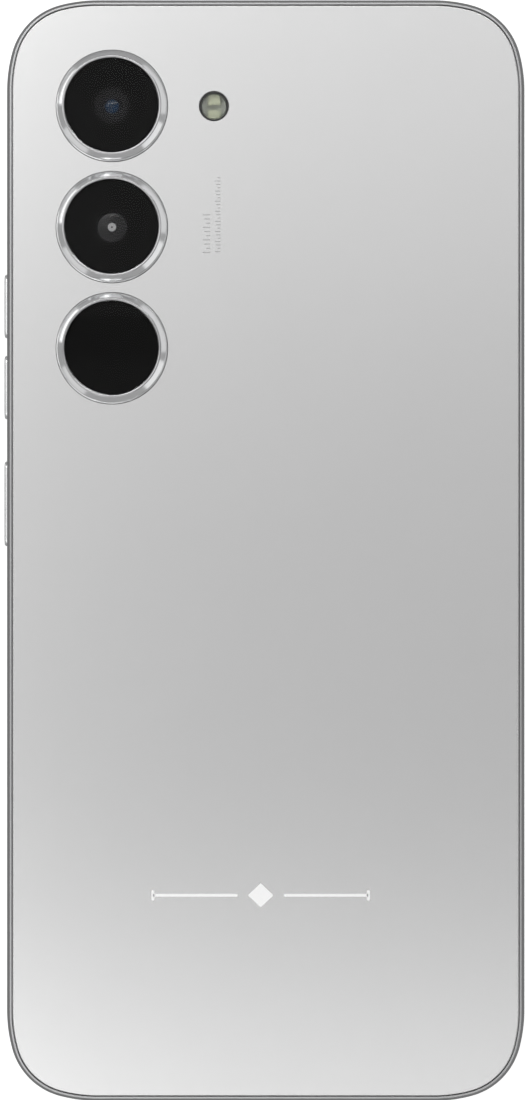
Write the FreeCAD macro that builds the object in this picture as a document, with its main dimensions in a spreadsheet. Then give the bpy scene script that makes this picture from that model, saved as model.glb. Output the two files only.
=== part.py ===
import FreeCAD, Part
import math
import os
import re
import Sketcher

# A smartphone, built as the separate pieces it is assembled from.
#
# It lies on its display: the origin is the middle of the display glass's outer face, +Z points out of
# the rear cover, +Y towards the top edge and +X to the right as seen from the back. Lengths are in
# millimetres and angles in degrees.

DIMENSIONS = {
    # Whole phone
    "phone_width": 77.0,
    "phone_length": 163.8,
    "phone_thickness": 8.4,
    # Gaps used all over: between stacked pieces, beside thin films, and how far cuts overlap
    "play": 0.05,
    "film_play": 0.02,
    "cut_overlap": 1.0,
    # Corners: a tight arc between two wider ones, so that the curvature grows in steps
    "corner_radius": 10.0,
    "ease_radius": 22.0,
    "ease_angle": 15.0,
    # Side frame
    "frame_front": 0.35,
    "frame_back": 8.2,
    "frame_edge_radius": 0.5,
    "lip_width": 0.75,
    "wall_thickness": 1.6,
    "front_ledge": 0.75,
    "back_ledge": 7.5,
    "port_height": 4.3,
    # Covers, display stack and mid plate
    "panel_inset": 0.9,
    "glass_thickness": 0.65,
    "cover_thickness": 0.8,
    "cover_edge_radius": 0.25,
    "glass_edge_radius": 0.2,
    "display_cell_back": 1.25,
    "display_cell_inset": 2.3,
    "backlight_back": 2.05,
    "backlight_inset": 2.1,
    "mid_plate_front": 2.25,
    "mid_plate_back": 2.6,
    "plate_inset": 1.65,
    "cable_slot_left": 8.4,
    "cable_slot_right": 14.6,
    "cable_slot_low_y": -65.8,
    "cable_slot_high_y": -64.8,
    "boss_back": 3.4,
    "boss_radius": 1.5,
    # Boards and brackets
    "board_front": 3.4,
    "board_back": 4.2,
    "board_inset": 2.2,
    "bracket_front": 6.1,
    "bracket_back": 7.0,
    "bracket_inset": 2.0,
    "main_board_end": 24.5,
    "camera_bay_right": -10.0,
    "camera_bay_end": 43.0,
    "key_bay_left": -34.4,
    "top_bay_right": 18.5,
    "top_bay_end": 69.5,
    "sub_board_left": -8.6,
    "sub_board_right": 20.4,
    "sub_board_top": -66.6,
    "bracket_overhang": 0.7,
    "bracket_ring_overlap": 0.27,
    "bracket_flash_gap": 0.4,
    "bracket_board_gap": 0.2,
    "usb_notch_gap": 0.2,
    "connector_width": 4.8,
    "connector_length": 2.2,
    # Shields over the chips
    "processor_shield_left": -8.6,
    "processor_shield_right": 3.6,
    "processor_shield_low_y": 44.6,
    "processor_shield_high_y": 66.2,
    "radio_shield_left": 13.0,
    "radio_shield_right": 31.6,
    "radio_shield_low_y": 27.4,
    "radio_shield_high_y": 43.0,
    "shield_height": 1.4,
    "shield_wall": 0.2,
    "shield_edge_radius": 0.35,
    # Flexible cables
    "flex_height": 5.0,
    "flex_thickness": 0.12,
    "main_flex_left": 0.5,
    "main_flex_right": 7.5,
    "main_flex_low_rise_y": -65.9,
    "main_flex_low_end_y": -70.5,
    "main_flex_high_rise_y": 24.0,
    "main_flex_high_end_y": 29.5,
    "display_flex_left": 9.0,
    "display_flex_right": 14.0,
    "display_flex_gap": 0.03,
    "display_flex_fold_y": -76.0,
    "display_flex_rise_y": -65.4,
    "display_flex_end_y": -72.6,
    # Screws
    "screw_radius": 0.6,
    "screw_bore_radius": 0.68,
    "screw_head_radius": 1.3,
    "screw_head_height": 0.45,
    "screw_tip": 2.35,
    "screw_post_radius": 1.5,
    "screw_slot_width": 0.35,
    "screw_slot_length": 1.6,
    "screw_slot_depth": 0.2,
    "screw_head_gap": 0.1,
    # Rear cameras
    "camera_x": -22.85,
    "camera_upper_y": 66.06,
    "camera_pitch": 18.0,
    "ring_bore_radius": 6.0,
    "ring_flange_radius": 8.85,
    "ring_flange_thickness": 0.4,
    "ring_foot_radius": 8.25,
    "ring_foot_height": 0.12,
    "ring_foot_slope": 0.04,
    "ring_shoulder_radius": 8.05,
    "ring_shoulder_rise": 0.63,
    "ring_lip_outer": 7.42,
    "ring_lip_round": 0.06,
    "ring_lip_chamfer": 0.08,
    "ring_lip_inner": 7.08,
    "ring_height": 1.4,
    "window_radius": 6.95,
    "window_thickness": 0.67,
    "window_seat": 8.9,
    "mask_thickness": 0.08,
    "main_aperture": 3.1,
    "auxiliary_aperture": 2.45,
    "cover_hole_gap": 0.06,
    "main_camera_width": 9.0,
    "main_camera_base": 3.35,
    "main_camera_top": 6.9,
    "lens_bore_radius": 3.6,
    "lens_radius": 3.3,
    "lens_front": 3.8,
    "lens_top": 8.2,
    "lens_pupil_radius": 1.05,
    "lens_cone_radius": 2.5,
    "lens_glass_radius": 1.55,
    "lens_cone_depth": 0.7,
    "lens_pupil_depth": 1.0,
    "sensor_board_margin": 0.3,
    "sensor_chip_width": 5.2,
    "sensor_chip_length": 4.0,
    "sensor_chip_height": 0.15,
    "auxiliary_width": 6.0,
    "auxiliary_nose_radius": 2.7,
    "auxiliary_pupil_radius": 0.9,
    "auxiliary_pupil_depth": 0.5,
    # Flash
    "flash_x": -7.69,
    "flash_y": 66.04,
    "flash_radius": 2.15,
    "flash_flange_radius": 2.9,
    "flash_flange_depth": 0.35,
    "flash_sunk": 0.02,
    "flash_edge_width": 0.12,
    "flash_edge_height": 0.04,
    "flash_board_width": 5.2,
    "flash_board_front": 5.7,
    "flash_board_back": 6.0,
    "flash_chip_width": 1.6,
    "flash_chip_offset": 1.1,
    "flash_chip_back": 6.75,
    # Keys
    "key_height": 4.3,
    "key_thickness": 2.0,
    "key_gap": 0.1,
    "key_protrusion": 0.6,
    "key_edge_radius": 0.3,
    "key_flange_margin": 0.9,
    "key_flange_height": 3.0,
    "key_flange_depth": 0.4,
    "key_flange_play": 0.05,
    "key_nub_reach": 2.7,
    "key_nub_length": 3.0,
    "key_nub_height": 1.6,
    "volume_key_length": 9.5,
    "power_key_length": 12.7,
    "volume_up_y": 36.55,
    "volume_down_y": 24.4,
    "power_y": 7.0,
    "fingerprint_length": 10.5,
    "fingerprint_height": 1.1,
    "fingerprint_depth": 0.15,
    "fingerprint_sunk": 0.03,
    "dome_radius": 1.6,
    "dome_height": 0.35,
    "key_flex_x": -35.1,
    "key_flex_thickness": 0.15,
    "key_flex_low_y": 0.5,
    "key_flex_high_y": 42.0,
    "key_flex_front": 3.0,
    "key_flex_back": 5.6,
    # SIM drawer
    "tray_y": 54.0,
    "tray_width": 12.2,
    "tray_end": 5.6,
    "tray_front": 4.55,
    "tray_thickness": 0.8,
    "tray_head_y": 54.4,
    "tray_head_length": 15.6,
    "tray_head_height": 2.4,
    "tray_head_depth": 1.15,
    "tray_gap": 0.1,
    "tray_height": 4.95,
    "tray_neck_length": 0.85,
    "tray_neck_below": 7.0,
    "tray_neck_above": 7.2,
    "tray_neck_height": 1.3,
    "card_wall_outer": 0.8,
    "card_wall_inner": 1.0,
    "seal_gap": 0.15,
    "seal_length": 0.5,
    "eject_hole_depth": 3.0,
    "eject_rod_width": 0.8,
    "eject_rod_front": 4.7,
    "eject_rod_back": 5.2,
    "eject_arm_width": 0.5,
    "eject_arm_gap": 0.1,
    "eject_arm_reach": 2.0,
    "eject_hole_y": 61.0,
    "eject_hole_radius": 0.45,
    "reader_left": 4.6,
    "reader_right": 36.0,
    "reader_low_y": 46.9,
    "reader_high_y": 62.0,
    "reader_wall": 0.2,
    "reader_back": 5.9,
    "memory_card_length": 15.2,
    "memory_card_width": 11.2,
    "sim_card_length": 12.5,
    "sim_card_width": 9.0,
    # USB socket
    "usb_outer_width": 8.94,
    "usb_outer_height": 3.16,
    "usb_wall": 0.3,
    "usb_mouth": -81.6,
    "usb_back": -74.2,
    "usb_back_wall": 0.5,
    "usb_gap": 0.12,
    "usb_tongue_width": 6.7,
    "usb_tongue_thickness": 0.7,
    "usb_tongue_tip": -80.4,
    # Headphone jack
    "jack_x": 24.0,
    "jack_bore_radius": 1.8,
    "jack_nose_radius": 2.25,
    "jack_hole_radius": 2.35,
    "jack_mouth": -81.5,
    "jack_depth": 13.9,
    "jack_housing_width": 6.0,
    "jack_housing_height": 4.2,
    "jack_housing_mouth": -79.95,
    "jack_housing_end": -66.8,
    "jack_notch_gap": 0.3,
    # Loudspeaker
    "speaker_left": -36.5,
    "speaker_right": -9.4,
    "speaker_top": -67.2,
    "speaker_front": 2.65,
    "chamber_left": -30.0,
    "chamber_right": -13.6,
    "chamber_low_y": -78.4,
    "chamber_high_y": -68.1,
    "chamber_back": 6.3,
    "speaker_hole_radius": 0.7,
    "speaker_hole_count": 6,
    "speaker_hole_pitch": 2.2,
    "speaker_hole_first": -24.6,
    "diaphragm_front": 5.2,
    "diaphragm_thickness": 0.25,
    "diaphragm_width": 14.4,
    "diaphragm_length": 9.0,
    "driver_width": 15.2,
    "driver_length": 9.6,
    "driver_gap": 0.6,
    "speaker_port_margin": 4.0,
    "speaker_port_wall": 0.1,
    "speaker_port_front": 3.4,
    "speaker_port_back": 5.0,
    "speaker_boss_gap": 0.1,
    "speaker_mesh_margin": 1.2,
    "speaker_mesh_thickness": 0.15,
    "speaker_mesh_height": 2.2,
    "coil_radius": 3.3,
    "coil_thickness": 0.2,
    "coil_depth": 1.0,
    "coil_groove_depth": 1.2,
    "coil_gap": 0.3,
    # Microphone and earpiece
    "microphone_x": 9.5,
    "microphone_y": -78.4,
    "microphone_hole_radius": 0.5,
    "microphone_width": 3.0,
    "microphone_length": 2.2,
    "microphone_height": 1.0,
    "earpiece_width": 12.0,
    "earpiece_low_y": 80.2,
    "earpiece_channel_back": 3.0,
    "earpiece_channel_margin": 1.0,
    "earpiece_channel_width": 0.6,
    "earpiece_mesh_front": 0.3,
    "earpiece_speaker_left": 5.4,
    "earpiece_speaker_right": 17.4,
    "earpiece_speaker_low_y": 73.4,
    "earpiece_speaker_high_y": 79.4,
    "earpiece_speaker_back": 5.4,
    # Battery
    "battery_left": -33.0,
    "battery_right": 29.0,
    "battery_low_y": -64.0,
    "battery_high_y": 20.5,
    "battery_front": 2.8,
    "battery_back": 7.1,
    "battery_edge_radius": 1.2,
    "protection_left": -20.0,
    "protection_right": 14.0,
    "protection_gap": 0.3,
    "protection_high_y": 23.5,
    "protection_front": 3.4,
    "protection_back": 5.0,
    "lead_width": 4.4,
    "lead_start_y": 23.0,
    "lead_end_y": 30.0,
    "lead_foot_size": 0.5,
    # Front camera
    "front_camera_y": 74.5,
    "front_camera_hole": 2.1,
    "front_camera_nose": 1.7,
    "front_camera_width": 6.4,
    "front_camera_depth": 3.0,
    # Vibration motor
    "motor_x": 31.3,
    "motor_y": -69.9,
    "motor_radius": 4.0,
    "motor_front": 2.65,
    "motor_back": 5.3,
    "motor_wall": 0.25,
    "motor_shaft_radius": 0.4,
    "rotor_bore_radius": 0.45,
    "rotor_hub_radius": 1.2,
    "rotor_radius": 3.4,
    "rotor_gap_front": 0.35,
    "rotor_gap_back": 0.3,
    # Antenna cable
    "cable_radius": 0.4,
    "cable_height": 4.75,
    "cable_start_x": 16.6,
    "cable_start_y": -70.9,
    "cable_cross_y": -65.25,
    "cable_side_x": 33.5,
    "cable_end_y": 31.0,
    "cable_first_bend": 2.5,
    "cable_second_bend": 6.0,
}

# Screws through the upper bracket, through the lower bracket and through the loudspeaker box
UPPER_SCREWS = [(-33.0, 26.7), (-33.0, 40.8), (-12.0, 41.0), (10.5, 35.0),
                (33.8, 35.0), (-1.0, 40.5), (20.8, 73.5), (31.5, 66.0)]
LOWER_SCREWS = [(-6.9, -69.2), (18.9, -72.5), (18.2, -77.8)]
SPEAKER_SCREWS = [(-33.4, -69.6), (-11.6, -69.6)]

# Soldered chips on the main board: middle x, middle y, width, length, height
CHIPS = [(-2.5, 60.5, 9.6, 9.6, 0.9), (-2.5, 49.5, 9.0, 7.6, 0.8),
         (19.0, 35.0, 7.0, 7.0, 0.8), (27.5, 35.0, 5.2, 6.0, 0.7)]

# Board-to-board connectors: middle x and y. The last two stand on the sub board.
CONNECTORS = [(-6.0, 29.0), (4.0, 28.5), (-22.0, 39.0), (4.0, -69.5), (11.5, -71.5)]

CAMERA_NAMES = ["upper", "middle", "lower"]


def numbered_places(prefix, points):
    """Name the x and y of every point, so that the sheet holds each of them."""
    places = {}
    for number, (x, y) in enumerate(points, 1):
        places[f"{prefix}_{number}_x"] = x
        places[f"{prefix}_{number}_y"] = y
    return places


DIMENSIONS.update(numbered_places("upper_screw", UPPER_SCREWS))
DIMENSIONS.update(numbered_places("lower_screw", LOWER_SCREWS))
DIMENSIONS.update(numbered_places("speaker_screw", SPEAKER_SCREWS))
DIMENSIONS.update(numbered_places("chip", [chip[:2] for chip in CHIPS]))
DIMENSIONS.update(numbered_places("connector", CONNECTORS))

doc = FreeCAD.newDocument("Smartphone")
sheet = doc.addObject("Spreadsheet::Sheet", "Dimensions")
subparts = []


# ---------------------------------------------------------------- sheet and formulas

def fill_sheet():
    """Write every driving dimension as a plain number with its alias."""
    for row, (name, value) in enumerate(DIMENSIONS.items(), 1):
        sheet.set(f"A{row}", name)
        sheet.set(f"B{row}", str(value))
        sheet.setAlias(f"B{row}", name)
    doc.recompute()


def formula(text):
    """Put the sheet's name in front of each alias that the text uses."""
    return re.sub(r"[a-z][a-z_0-9]*", lambda word: expand(word.group()), str(text))


def expand(word):
    return f"Dimensions.{word}" if word in DIMENSIONS else word


def value(text):
    """The number that a formula comes to now."""
    return float(sheet.evalExpression(formula(text)))


def bind(item, **properties):
    """Bind properties to formulas. A double underscore in a name stands for a full stop."""
    for name, text in properties.items():
        item.setExpression(name.replace("__", "."), formula(text))


# ---------------------------------------------------------------- sketches

def new_body(label, x="0", y="0", z="0"):
    """A body that is a sub-part, placed at x, y, z."""
    body = doc.addObject("PartDesign::Body", label)
    body.Label = label
    bind(body, Placement__Base__x=x, Placement__Base__y=y, Placement__Base__z=z)
    subparts.append(body)
    return body


def new_sketch(body, name, offset="0", plane="XY_Plane"):
    """A sketch on one of the body's own origin planes, moved along that plane's normal."""
    sketch = body.newObject("Sketcher::SketchObject", f"{body.Name}_{name}")
    role = [item for item in body.Origin.OriginFeatures if item.Role == plane]
    sketch.AttachmentSupport = [(role[0], "")]
    sketch.MapMode = "FlatFace"
    bind(sketch, AttachmentOffset__Base__z=offset)
    return sketch


def dimension(sketch, kind, *references, to):
    """Add a driving dimension and bind it to a formula."""
    number = value(to)
    start = math.radians(number) if kind == "Angle" else number
    index = sketch.addConstraint(Sketcher.Constraint(kind, *references, start))
    sketch.setExpression(f"Constraints[{index}]", formula(to))


def place(sketch, shape, point, x, y):
    """Dimension a point from the sketch's origin."""
    dimension(sketch, "DistanceX", -1, 1, shape, point, to=x)
    dimension(sketch, "DistanceY", -1, 1, shape, point, to=y)


def polygon(sketch, corners):
    """Draw straight lines through corners given as pairs of formulas, and close them."""
    points = [FreeCAD.Vector(value(x), value(y), 0) for x, y in corners]
    lines = []
    for start, end in zip(points, points[1:] + points[:1]):
        lines.append(sketch.addGeometry(Part.LineSegment(start, end)))
    for line, following in zip(lines, lines[1:] + lines[:1]):
        sketch.addConstraint(Sketcher.Constraint("Coincident", line, 2, following, 1))
    for line, (x, y) in zip(lines, corners):
        place(sketch, line, 1, x, y)


def rectangle(sketch, left, right, low, high):
    """Draw a rectangle from the formulas of its four sides."""
    polygon(sketch, [(left, low), (right, low), (right, high), (left, high)])


def circle(sketch, x, y, radius):
    """Draw a circle from the formulas of its centre and radius."""
    centre = FreeCAD.Vector(value(x), value(y), 0)
    shape = sketch.addGeometry(Part.Circle(centre, FreeCAD.Vector(0, 0, 1), value(radius)))
    place(sketch, shape, 3, x, y)
    dimension(sketch, "Radius", shape, to=radius)


def stadium(sketch, x, y, length, height):
    """Draw a slot with half-round ends, its long side along the sketch's first axis."""
    middle = FreeCAD.Vector(value(x), value(y), 0)
    radius = value(height) / 2
    reach = FreeCAD.Vector(value(length) / 2 - radius, 0, 0)
    rise = FreeCAD.Vector(0, radius, 0)
    normal = FreeCAD.Vector(0, 0, 1)
    quarter = math.pi / 2
    right = Part.ArcOfCircle(Part.Circle(middle + reach, normal, radius), -quarter, quarter)
    left = Part.ArcOfCircle(Part.Circle(middle - reach, normal, radius), quarter, 3 * quarter)
    chain = [sketch.addGeometry(right),
             sketch.addGeometry(Part.LineSegment(middle + reach + rise, middle - reach + rise)),
             sketch.addGeometry(left),
             sketch.addGeometry(Part.LineSegment(middle - reach - rise, middle + reach - rise))]
    for shape, following in zip(chain, chain[1:] + chain[:1]):
        sketch.addConstraint(Sketcher.Constraint("Tangent", shape, 2, following, 1))
    sketch.addConstraint(Sketcher.Constraint("Equal", chain[0], chain[2]))
    place(sketch, chain[0], 3, f"{x} + ({length} - ({height})) / 2", y)
    place(sketch, chain[2], 3, f"{x} - ({length} - ({height})) / 2", y)
    dimension(sketch, "Radius", chain[0], to=f"({height}) / 2")


def corner_arcs(quadrant, inset):
    """The three tangent arcs of one corner, anticlockwise, as Part arcs.

    The tight arc's centre lies on the corner's diagonal. Each wide arc's centre lies on the line
    from the tight arc's centre through the point where the two arcs meet.
    """
    wide = value(f"ease_radius - ({inset})")
    tight = value(f"corner_radius - ({inset})")
    ease = math.radians(value("ease_angle"))
    side_x, side_y = [(1, 1), (-1, 1), (-1, -1), (1, -1)][quadrant]
    from_edge = wide - (wide - tight) * math.cos(ease)
    middle = FreeCAD.Vector(side_x * (value(f"phone_width / 2 - ({inset})") - from_edge),
                            side_y * (value(f"phone_length / 2 - ({inset})") - from_edge), 0)
    start = quadrant * math.pi / 2
    end = start + math.pi / 2
    arcs = []
    for first, last, radius, meeting in ((start, start + ease, wide, start + ease),
                                         (start + ease, end - ease, tight, 0),
                                         (end - ease, end, wide, end - ease)):
        towards = FreeCAD.Vector(math.cos(meeting), math.sin(meeting), 0)
        centre = middle - towards * (radius - tight)
        arcs.append(Part.ArcOfCircle(Part.Circle(centre, FreeCAD.Vector(0, 0, 1), radius), first, last))
    return arcs


def outline(sketch, inset="0"):
    """Draw the phone's outline, moved inwards by the inset.

    Four straight sides are joined by corners of three tangent arcs each.
    """
    corners = [corner_arcs(quadrant, inset) for quadrant in range(4)]
    chain = []
    for corner, following in zip(corners, corners[1:] + corners[:1]):
        chain += [sketch.addGeometry(arc) for arc in corner]
        side = Part.LineSegment(corner[2].EndPoint, following[0].StartPoint)
        chain.append(sketch.addGeometry(side))
    for shape, following in zip(chain, chain[1:] + chain[:1]):
        sketch.addConstraint(Sketcher.Constraint("Tangent", shape, 2, following, 1))
    wide = chain[0::4] + chain[2::4]
    tight = chain[1::4]
    for family, radius in ((wide, "ease_radius"), (tight, "corner_radius")):
        dimension(sketch, "Radius", family[0], to=f"{radius} - ({inset})")
        for other in family[1:]:
            sketch.addConstraint(Sketcher.Constraint("Equal", family[0], other))
    for arc in wide:
        dimension(sketch, "Angle", arc, to="ease_angle")
    top, left, bottom, right = chain[3::4]
    for side in (top, bottom):
        sketch.addConstraint(Sketcher.Constraint("Horizontal", side))
    for side in (left, right):
        sketch.addConstraint(Sketcher.Constraint("Vertical", side))
    dimension(sketch, "DistanceX", -1, 1, right, 1, to=f"phone_width / 2 - ({inset})")
    dimension(sketch, "DistanceX", -1, 1, left, 1, to=f"({inset}) - phone_width / 2")
    dimension(sketch, "DistanceY", -1, 1, top, 1, to=f"phone_length / 2 - ({inset})")
    dimension(sketch, "DistanceY", -1, 1, bottom, 1, to=f"({inset}) - phone_length / 2")


# ---------------------------------------------------------------- features

def pad(body, sketch, length, downwards=False):
    """Raise a sketch into the body's solid."""
    feature = body.newObject("PartDesign::Pad", f"{sketch.Name}_pad")
    feature.Profile = sketch
    feature.Reversed = downwards
    bind(feature, Length=length)
    doc.recompute()
    return feature


def pocket(body, sketch, depth, along_normal=False, both_ways=False):
    """Cut a sketch out of the body, against its normal, along it or both, and check that it cut."""
    before = body.Shape.Volume
    feature = body.newObject("PartDesign::Pocket", f"{sketch.Name}_cut")
    feature.Profile = sketch
    feature.Reversed = along_normal
    feature.Midplane = both_ways
    bind(feature, Length=depth)
    doc.recompute()
    if body.Shape.Volume >= before - 1e-6:
        raise RuntimeError(f"{feature.Name} cuts nothing")
    return feature


def cut_through(body, sketch):
    """Cut a sketch out of the body in both directions."""
    return pocket(body, sketch, "2 * phone_length", both_ways=True)


def revolve(body, sketch):
    """Turn a sketch on the XZ plane about the body's vertical axis."""
    feature = body.newObject("PartDesign::Revolution", f"{sketch.Name}_turn")
    feature.Profile = sketch
    feature.ReferenceAxis = (sketch, ["V_Axis"])
    feature.Angle = 360
    doc.recompute()
    return feature


def flat_faces(feature, direction):
    """Names of the feature's plane faces whose outward normal is the direction."""
    names = []
    for number, face in enumerate(feature.Shape.Faces, 1):
        if isinstance(face.Surface, Part.Plane) and face.normalAt(0, 0).dot(direction) > 0.999:
            names.append(f"Face{number}")
    return names


def round_edges(body, feature, directions, radius):
    """Fillet the edges of the flat faces that look in the given directions."""
    faces = []
    for direction in directions:
        faces += flat_faces(feature, FreeCAD.Vector(*direction))
    fillet = body.newObject("PartDesign::Fillet", f"{body.Name}_edges")
    fillet.Base = (feature, faces)
    bind(fillet, Radius=radius)
    doc.recompute()
    return fillet


def outline_plate(label, inset, low, high):
    """A flat piece with the phone's outline, inset, between two heights."""
    body = new_body(label)
    sketch = new_sketch(body, "outline", low)
    outline(sketch, inset)
    return body, pad(body, sketch, f"{high} - ({low})")


def keep_inside(body, left, right, low, high):
    """Cut away everything outside a rectangle seen along Z."""
    sketch = new_sketch(body, "keep")
    rectangle(sketch, "-2 * phone_width", "2 * phone_width", "-2 * phone_length", "2 * phone_length")
    rectangle(sketch, left, right, low, high)
    cut_through(body, sketch)


def cut_rectangle(body, name, left, right, low, high):
    """Cut a rectangular opening right through along Z."""
    sketch = new_sketch(body, name)
    rectangle(sketch, left, right, low, high)
    cut_through(body, sketch)


def cut_circles(body, name, places, radius):
    """Cut round holes right through along Z."""
    sketch = new_sketch(body, name)
    for x, y in places:
        circle(sketch, x, y, radius)
    cut_through(body, sketch)


def block(label, left, right, low, high, front, back, is_subpart=True):
    """A plain box between six formulas."""
    box = doc.addObject("Part::Box", label)
    box.Label = label
    bind(box, Length=f"({right}) - ({left})", Width=f"({high}) - ({low})",
         Height=f"({back}) - ({front})", Placement__Base__x=left, Placement__Base__y=low,
         Placement__Base__z=front)
    if is_subpart:
        subparts.append(box)
    return box


def joined(kind, label, pieces):
    """Fuse pieces into one solid, or group them as separate solids in one sub-part."""
    group = doc.addObject(kind, label)
    group.Label = label
    if kind == "Part::Compound":
        group.Links = pieces
    else:
        group.Shapes = pieces
    subparts.append(group)
    doc.recompute()
    return group


def screw_places(prefix, points):
    """The sheet's names for a family of screw places."""
    return [(f"{prefix}_{n}_x", f"{prefix}_{n}_y") for n in range(1, len(points) + 1)]


def all_screw_places():
    return (screw_places("upper_screw", UPPER_SCREWS) + screw_places("lower_screw", LOWER_SCREWS)
            + screw_places("speaker_screw", SPEAKER_SCREWS))


def camera_y(number):
    """The height of a camera up the phone, counted from the top one."""
    return f"camera_upper_y - {number} * camera_pitch"


# ---------------------------------------------------------------- side frame and mid plate

def make_side_frame():
    """A closed band with rounded outer edges, a seat for each panel and the side openings."""
    body, ring = outline_plate("side_frame", "0", "frame_front", "frame_back")
    round_edges(body, ring, [(0, 0, 1), (0, 0, -1)], "frame_edge_radius")
    hollow = new_sketch(body, "hollow")
    outline(hollow, "wall_thickness")
    cut_through(body, hollow)
    back_seat = new_sketch(body, "back_seat", "frame_back")
    outline(back_seat, "lip_width")
    pocket(body, back_seat, "frame_back - back_ledge")
    front_seat = new_sketch(body, "front_seat", "frame_front")
    outline(front_seat, "lip_width")
    pocket(body, front_seat, "front_ledge - frame_front", along_normal=True)

    keys = new_sketch(body, "key_holes", "-phone_width / 2", "YZ_Plane")
    for y, length in (("volume_up_y", "volume_key_length"), ("volume_down_y", "volume_key_length"),
                      ("power_y", "power_key_length")):
        stadium(keys, y, "key_height", f"{length} + 2 * key_gap", "key_thickness + 2 * key_gap")
    pocket(body, keys, "2 * wall_thickness", along_normal=True)

    tray = new_sketch(body, "tray_hole", "phone_width / 2", "YZ_Plane")
    stadium(tray, "tray_head_y", "tray_height", "tray_head_length + 2 * tray_gap",
            "tray_head_height + 2 * tray_gap")
    pocket(body, tray, "2 * wall_thickness")

    ports = new_sketch(body, "bottom_holes", "phone_length / 2", "XZ_Plane")
    stadium(ports, "0", "port_height", "usb_outer_width + 2 * usb_gap", "usb_outer_height + 2 * usb_gap")
    circle(ports, "jack_x", "port_height", "jack_hole_radius")
    circle(ports, "microphone_x", "port_height", "microphone_hole_radius")
    for number in range(DIMENSIONS["speaker_hole_count"]):
        circle(ports, f"speaker_hole_first + {number} * speaker_hole_pitch", "port_height",
               "speaker_hole_radius")
    pocket(body, ports, "2 * wall_thickness")

    channel = new_sketch(body, "earpiece_channel", "front_ledge")
    half = "(earpiece_width / 2 - earpiece_channel_margin)"
    rectangle(channel, f"-{half}", half, "earpiece_low_y", "earpiece_low_y + earpiece_channel_width")
    pocket(body, channel, "earpiece_channel_back - front_ledge", along_normal=True)


def make_mid_plate():
    """A thin metal plate with a boss under every screw, cut for the camera, the cable and the jack."""
    body, _ = outline_plate("mid_plate", "plate_inset", "mid_plate_front", "mid_plate_back")
    bosses = new_sketch(body, "bosses", "mid_plate_back")
    for x, y in all_screw_places():
        circle(bosses, x, y, "boss_radius")
    pad(body, bosses, "boss_back - mid_plate_back")
    cut_circles(body, "bores", all_screw_places(), "screw_bore_radius")
    cut_circles(body, "camera_hole", [("0", "front_camera_y")], "front_camera_hole")
    cut_rectangle(body, "cable_slot", "cable_slot_left", "cable_slot_right", "cable_slot_low_y",
                  "cable_slot_high_y")
    half = "(jack_housing_width / 2 + jack_notch_gap)"
    cut_rectangle(body, "jack_notch", f"jack_x - {half}", f"jack_x + {half}", "-phone_length",
                  "jack_housing_end + jack_notch_gap")


# ---------------------------------------------------------------- panels and their adhesives

def make_rear_cover():
    """The back panel, its rim slightly rounded, with three ring holes and the flash hole."""
    low = "phone_thickness - cover_thickness"
    body, plate = outline_plate("rear_cover", "panel_inset", low, "phone_thickness")
    round_edges(body, plate, [(0, 0, 1)], "cover_edge_radius")
    rings = [("camera_x", camera_y(number)) for number in range(3)]
    cut_circles(body, "ring_holes", rings, "ring_foot_radius + cover_hole_gap")
    cut_circles(body, "flash_hole", [("flash_x", "flash_y")], "flash_radius + cover_hole_gap")


def make_adhesive(label, low, high):
    """A thin closed band on the frame's ledge."""
    body, _ = outline_plate(label, "panel_inset", low, high)
    hollow = new_sketch(body, "hollow")
    outline(hollow, "wall_thickness")
    cut_through(body, hollow)
    return body


def make_display():
    """The cover glass, the picture cell, the backlight and the band that holds them."""
    body, plate = outline_plate("display_glass", "panel_inset", "0", "glass_thickness")
    round_edges(body, plate, [(0, 0, -1)], "glass_edge_radius")
    cut_rectangle(body, "earpiece_notch", "-earpiece_width / 2", "earpiece_width / 2",
                  "earpiece_low_y", "phone_length")
    camera = [("0", "front_camera_y")]
    cell, _ = outline_plate("display_panel", "display_cell_inset", "glass_thickness",
                            "display_cell_back")
    cut_circles(cell, "camera_hole", camera, "front_camera_hole")
    light, _ = outline_plate("backlight_unit", "backlight_inset", "display_cell_back",
                             "backlight_back")
    cut_circles(light, "camera_hole", camera, "front_camera_hole")
    band = make_adhesive("display_adhesive", "glass_thickness", "front_ledge")
    cut_rectangle(band, "earpiece_notch", "-earpiece_width / 2", "earpiece_width / 2",
                  "earpiece_low_y", "phone_length")
    block("earpiece_mesh", "play - earpiece_width / 2", "earpiece_width / 2 - play",
          "earpiece_low_y + play", "phone_length / 2 - panel_inset - play", "earpiece_mesh_front",
          "front_ledge - film_play")


# ---------------------------------------------------------------- rear cameras and flash

def make_camera_ring(name, y):
    """A turned ring: a flange under the cover, a foot through it, a wall, a sloping band, a thin lip."""
    body = new_body(f"camera_ring_{name}", "camera_x", y)
    section = new_sketch(body, "section", plane="XZ_Plane")
    top = "phone_thickness + ring_height"
    foot_top = "phone_thickness + ring_foot_height"
    flange_back = "phone_thickness - cover_thickness - play"
    polygon(section, [
        ("ring_bore_radius", f"{flange_back} - ring_flange_thickness"),
        ("ring_flange_radius", f"{flange_back} - ring_flange_thickness"),
        ("ring_flange_radius", flange_back),
        ("ring_foot_radius", flange_back),
        ("ring_foot_radius", foot_top),
        ("ring_shoulder_radius + ring_foot_slope", f"{foot_top} + ring_foot_slope"),
        ("ring_shoulder_radius", f"{foot_top} + ring_shoulder_rise"),
        ("ring_lip_outer", f"{top} - ring_lip_round"),
        ("ring_lip_outer - ring_lip_round", top),
        ("ring_lip_inner", top),
        ("window_radius + play", f"{top} - ring_lip_chamfer"),
        ("window_radius + play", "window_seat"),
        ("ring_bore_radius", "window_seat"),
    ])
    revolve(body, section)


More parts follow.
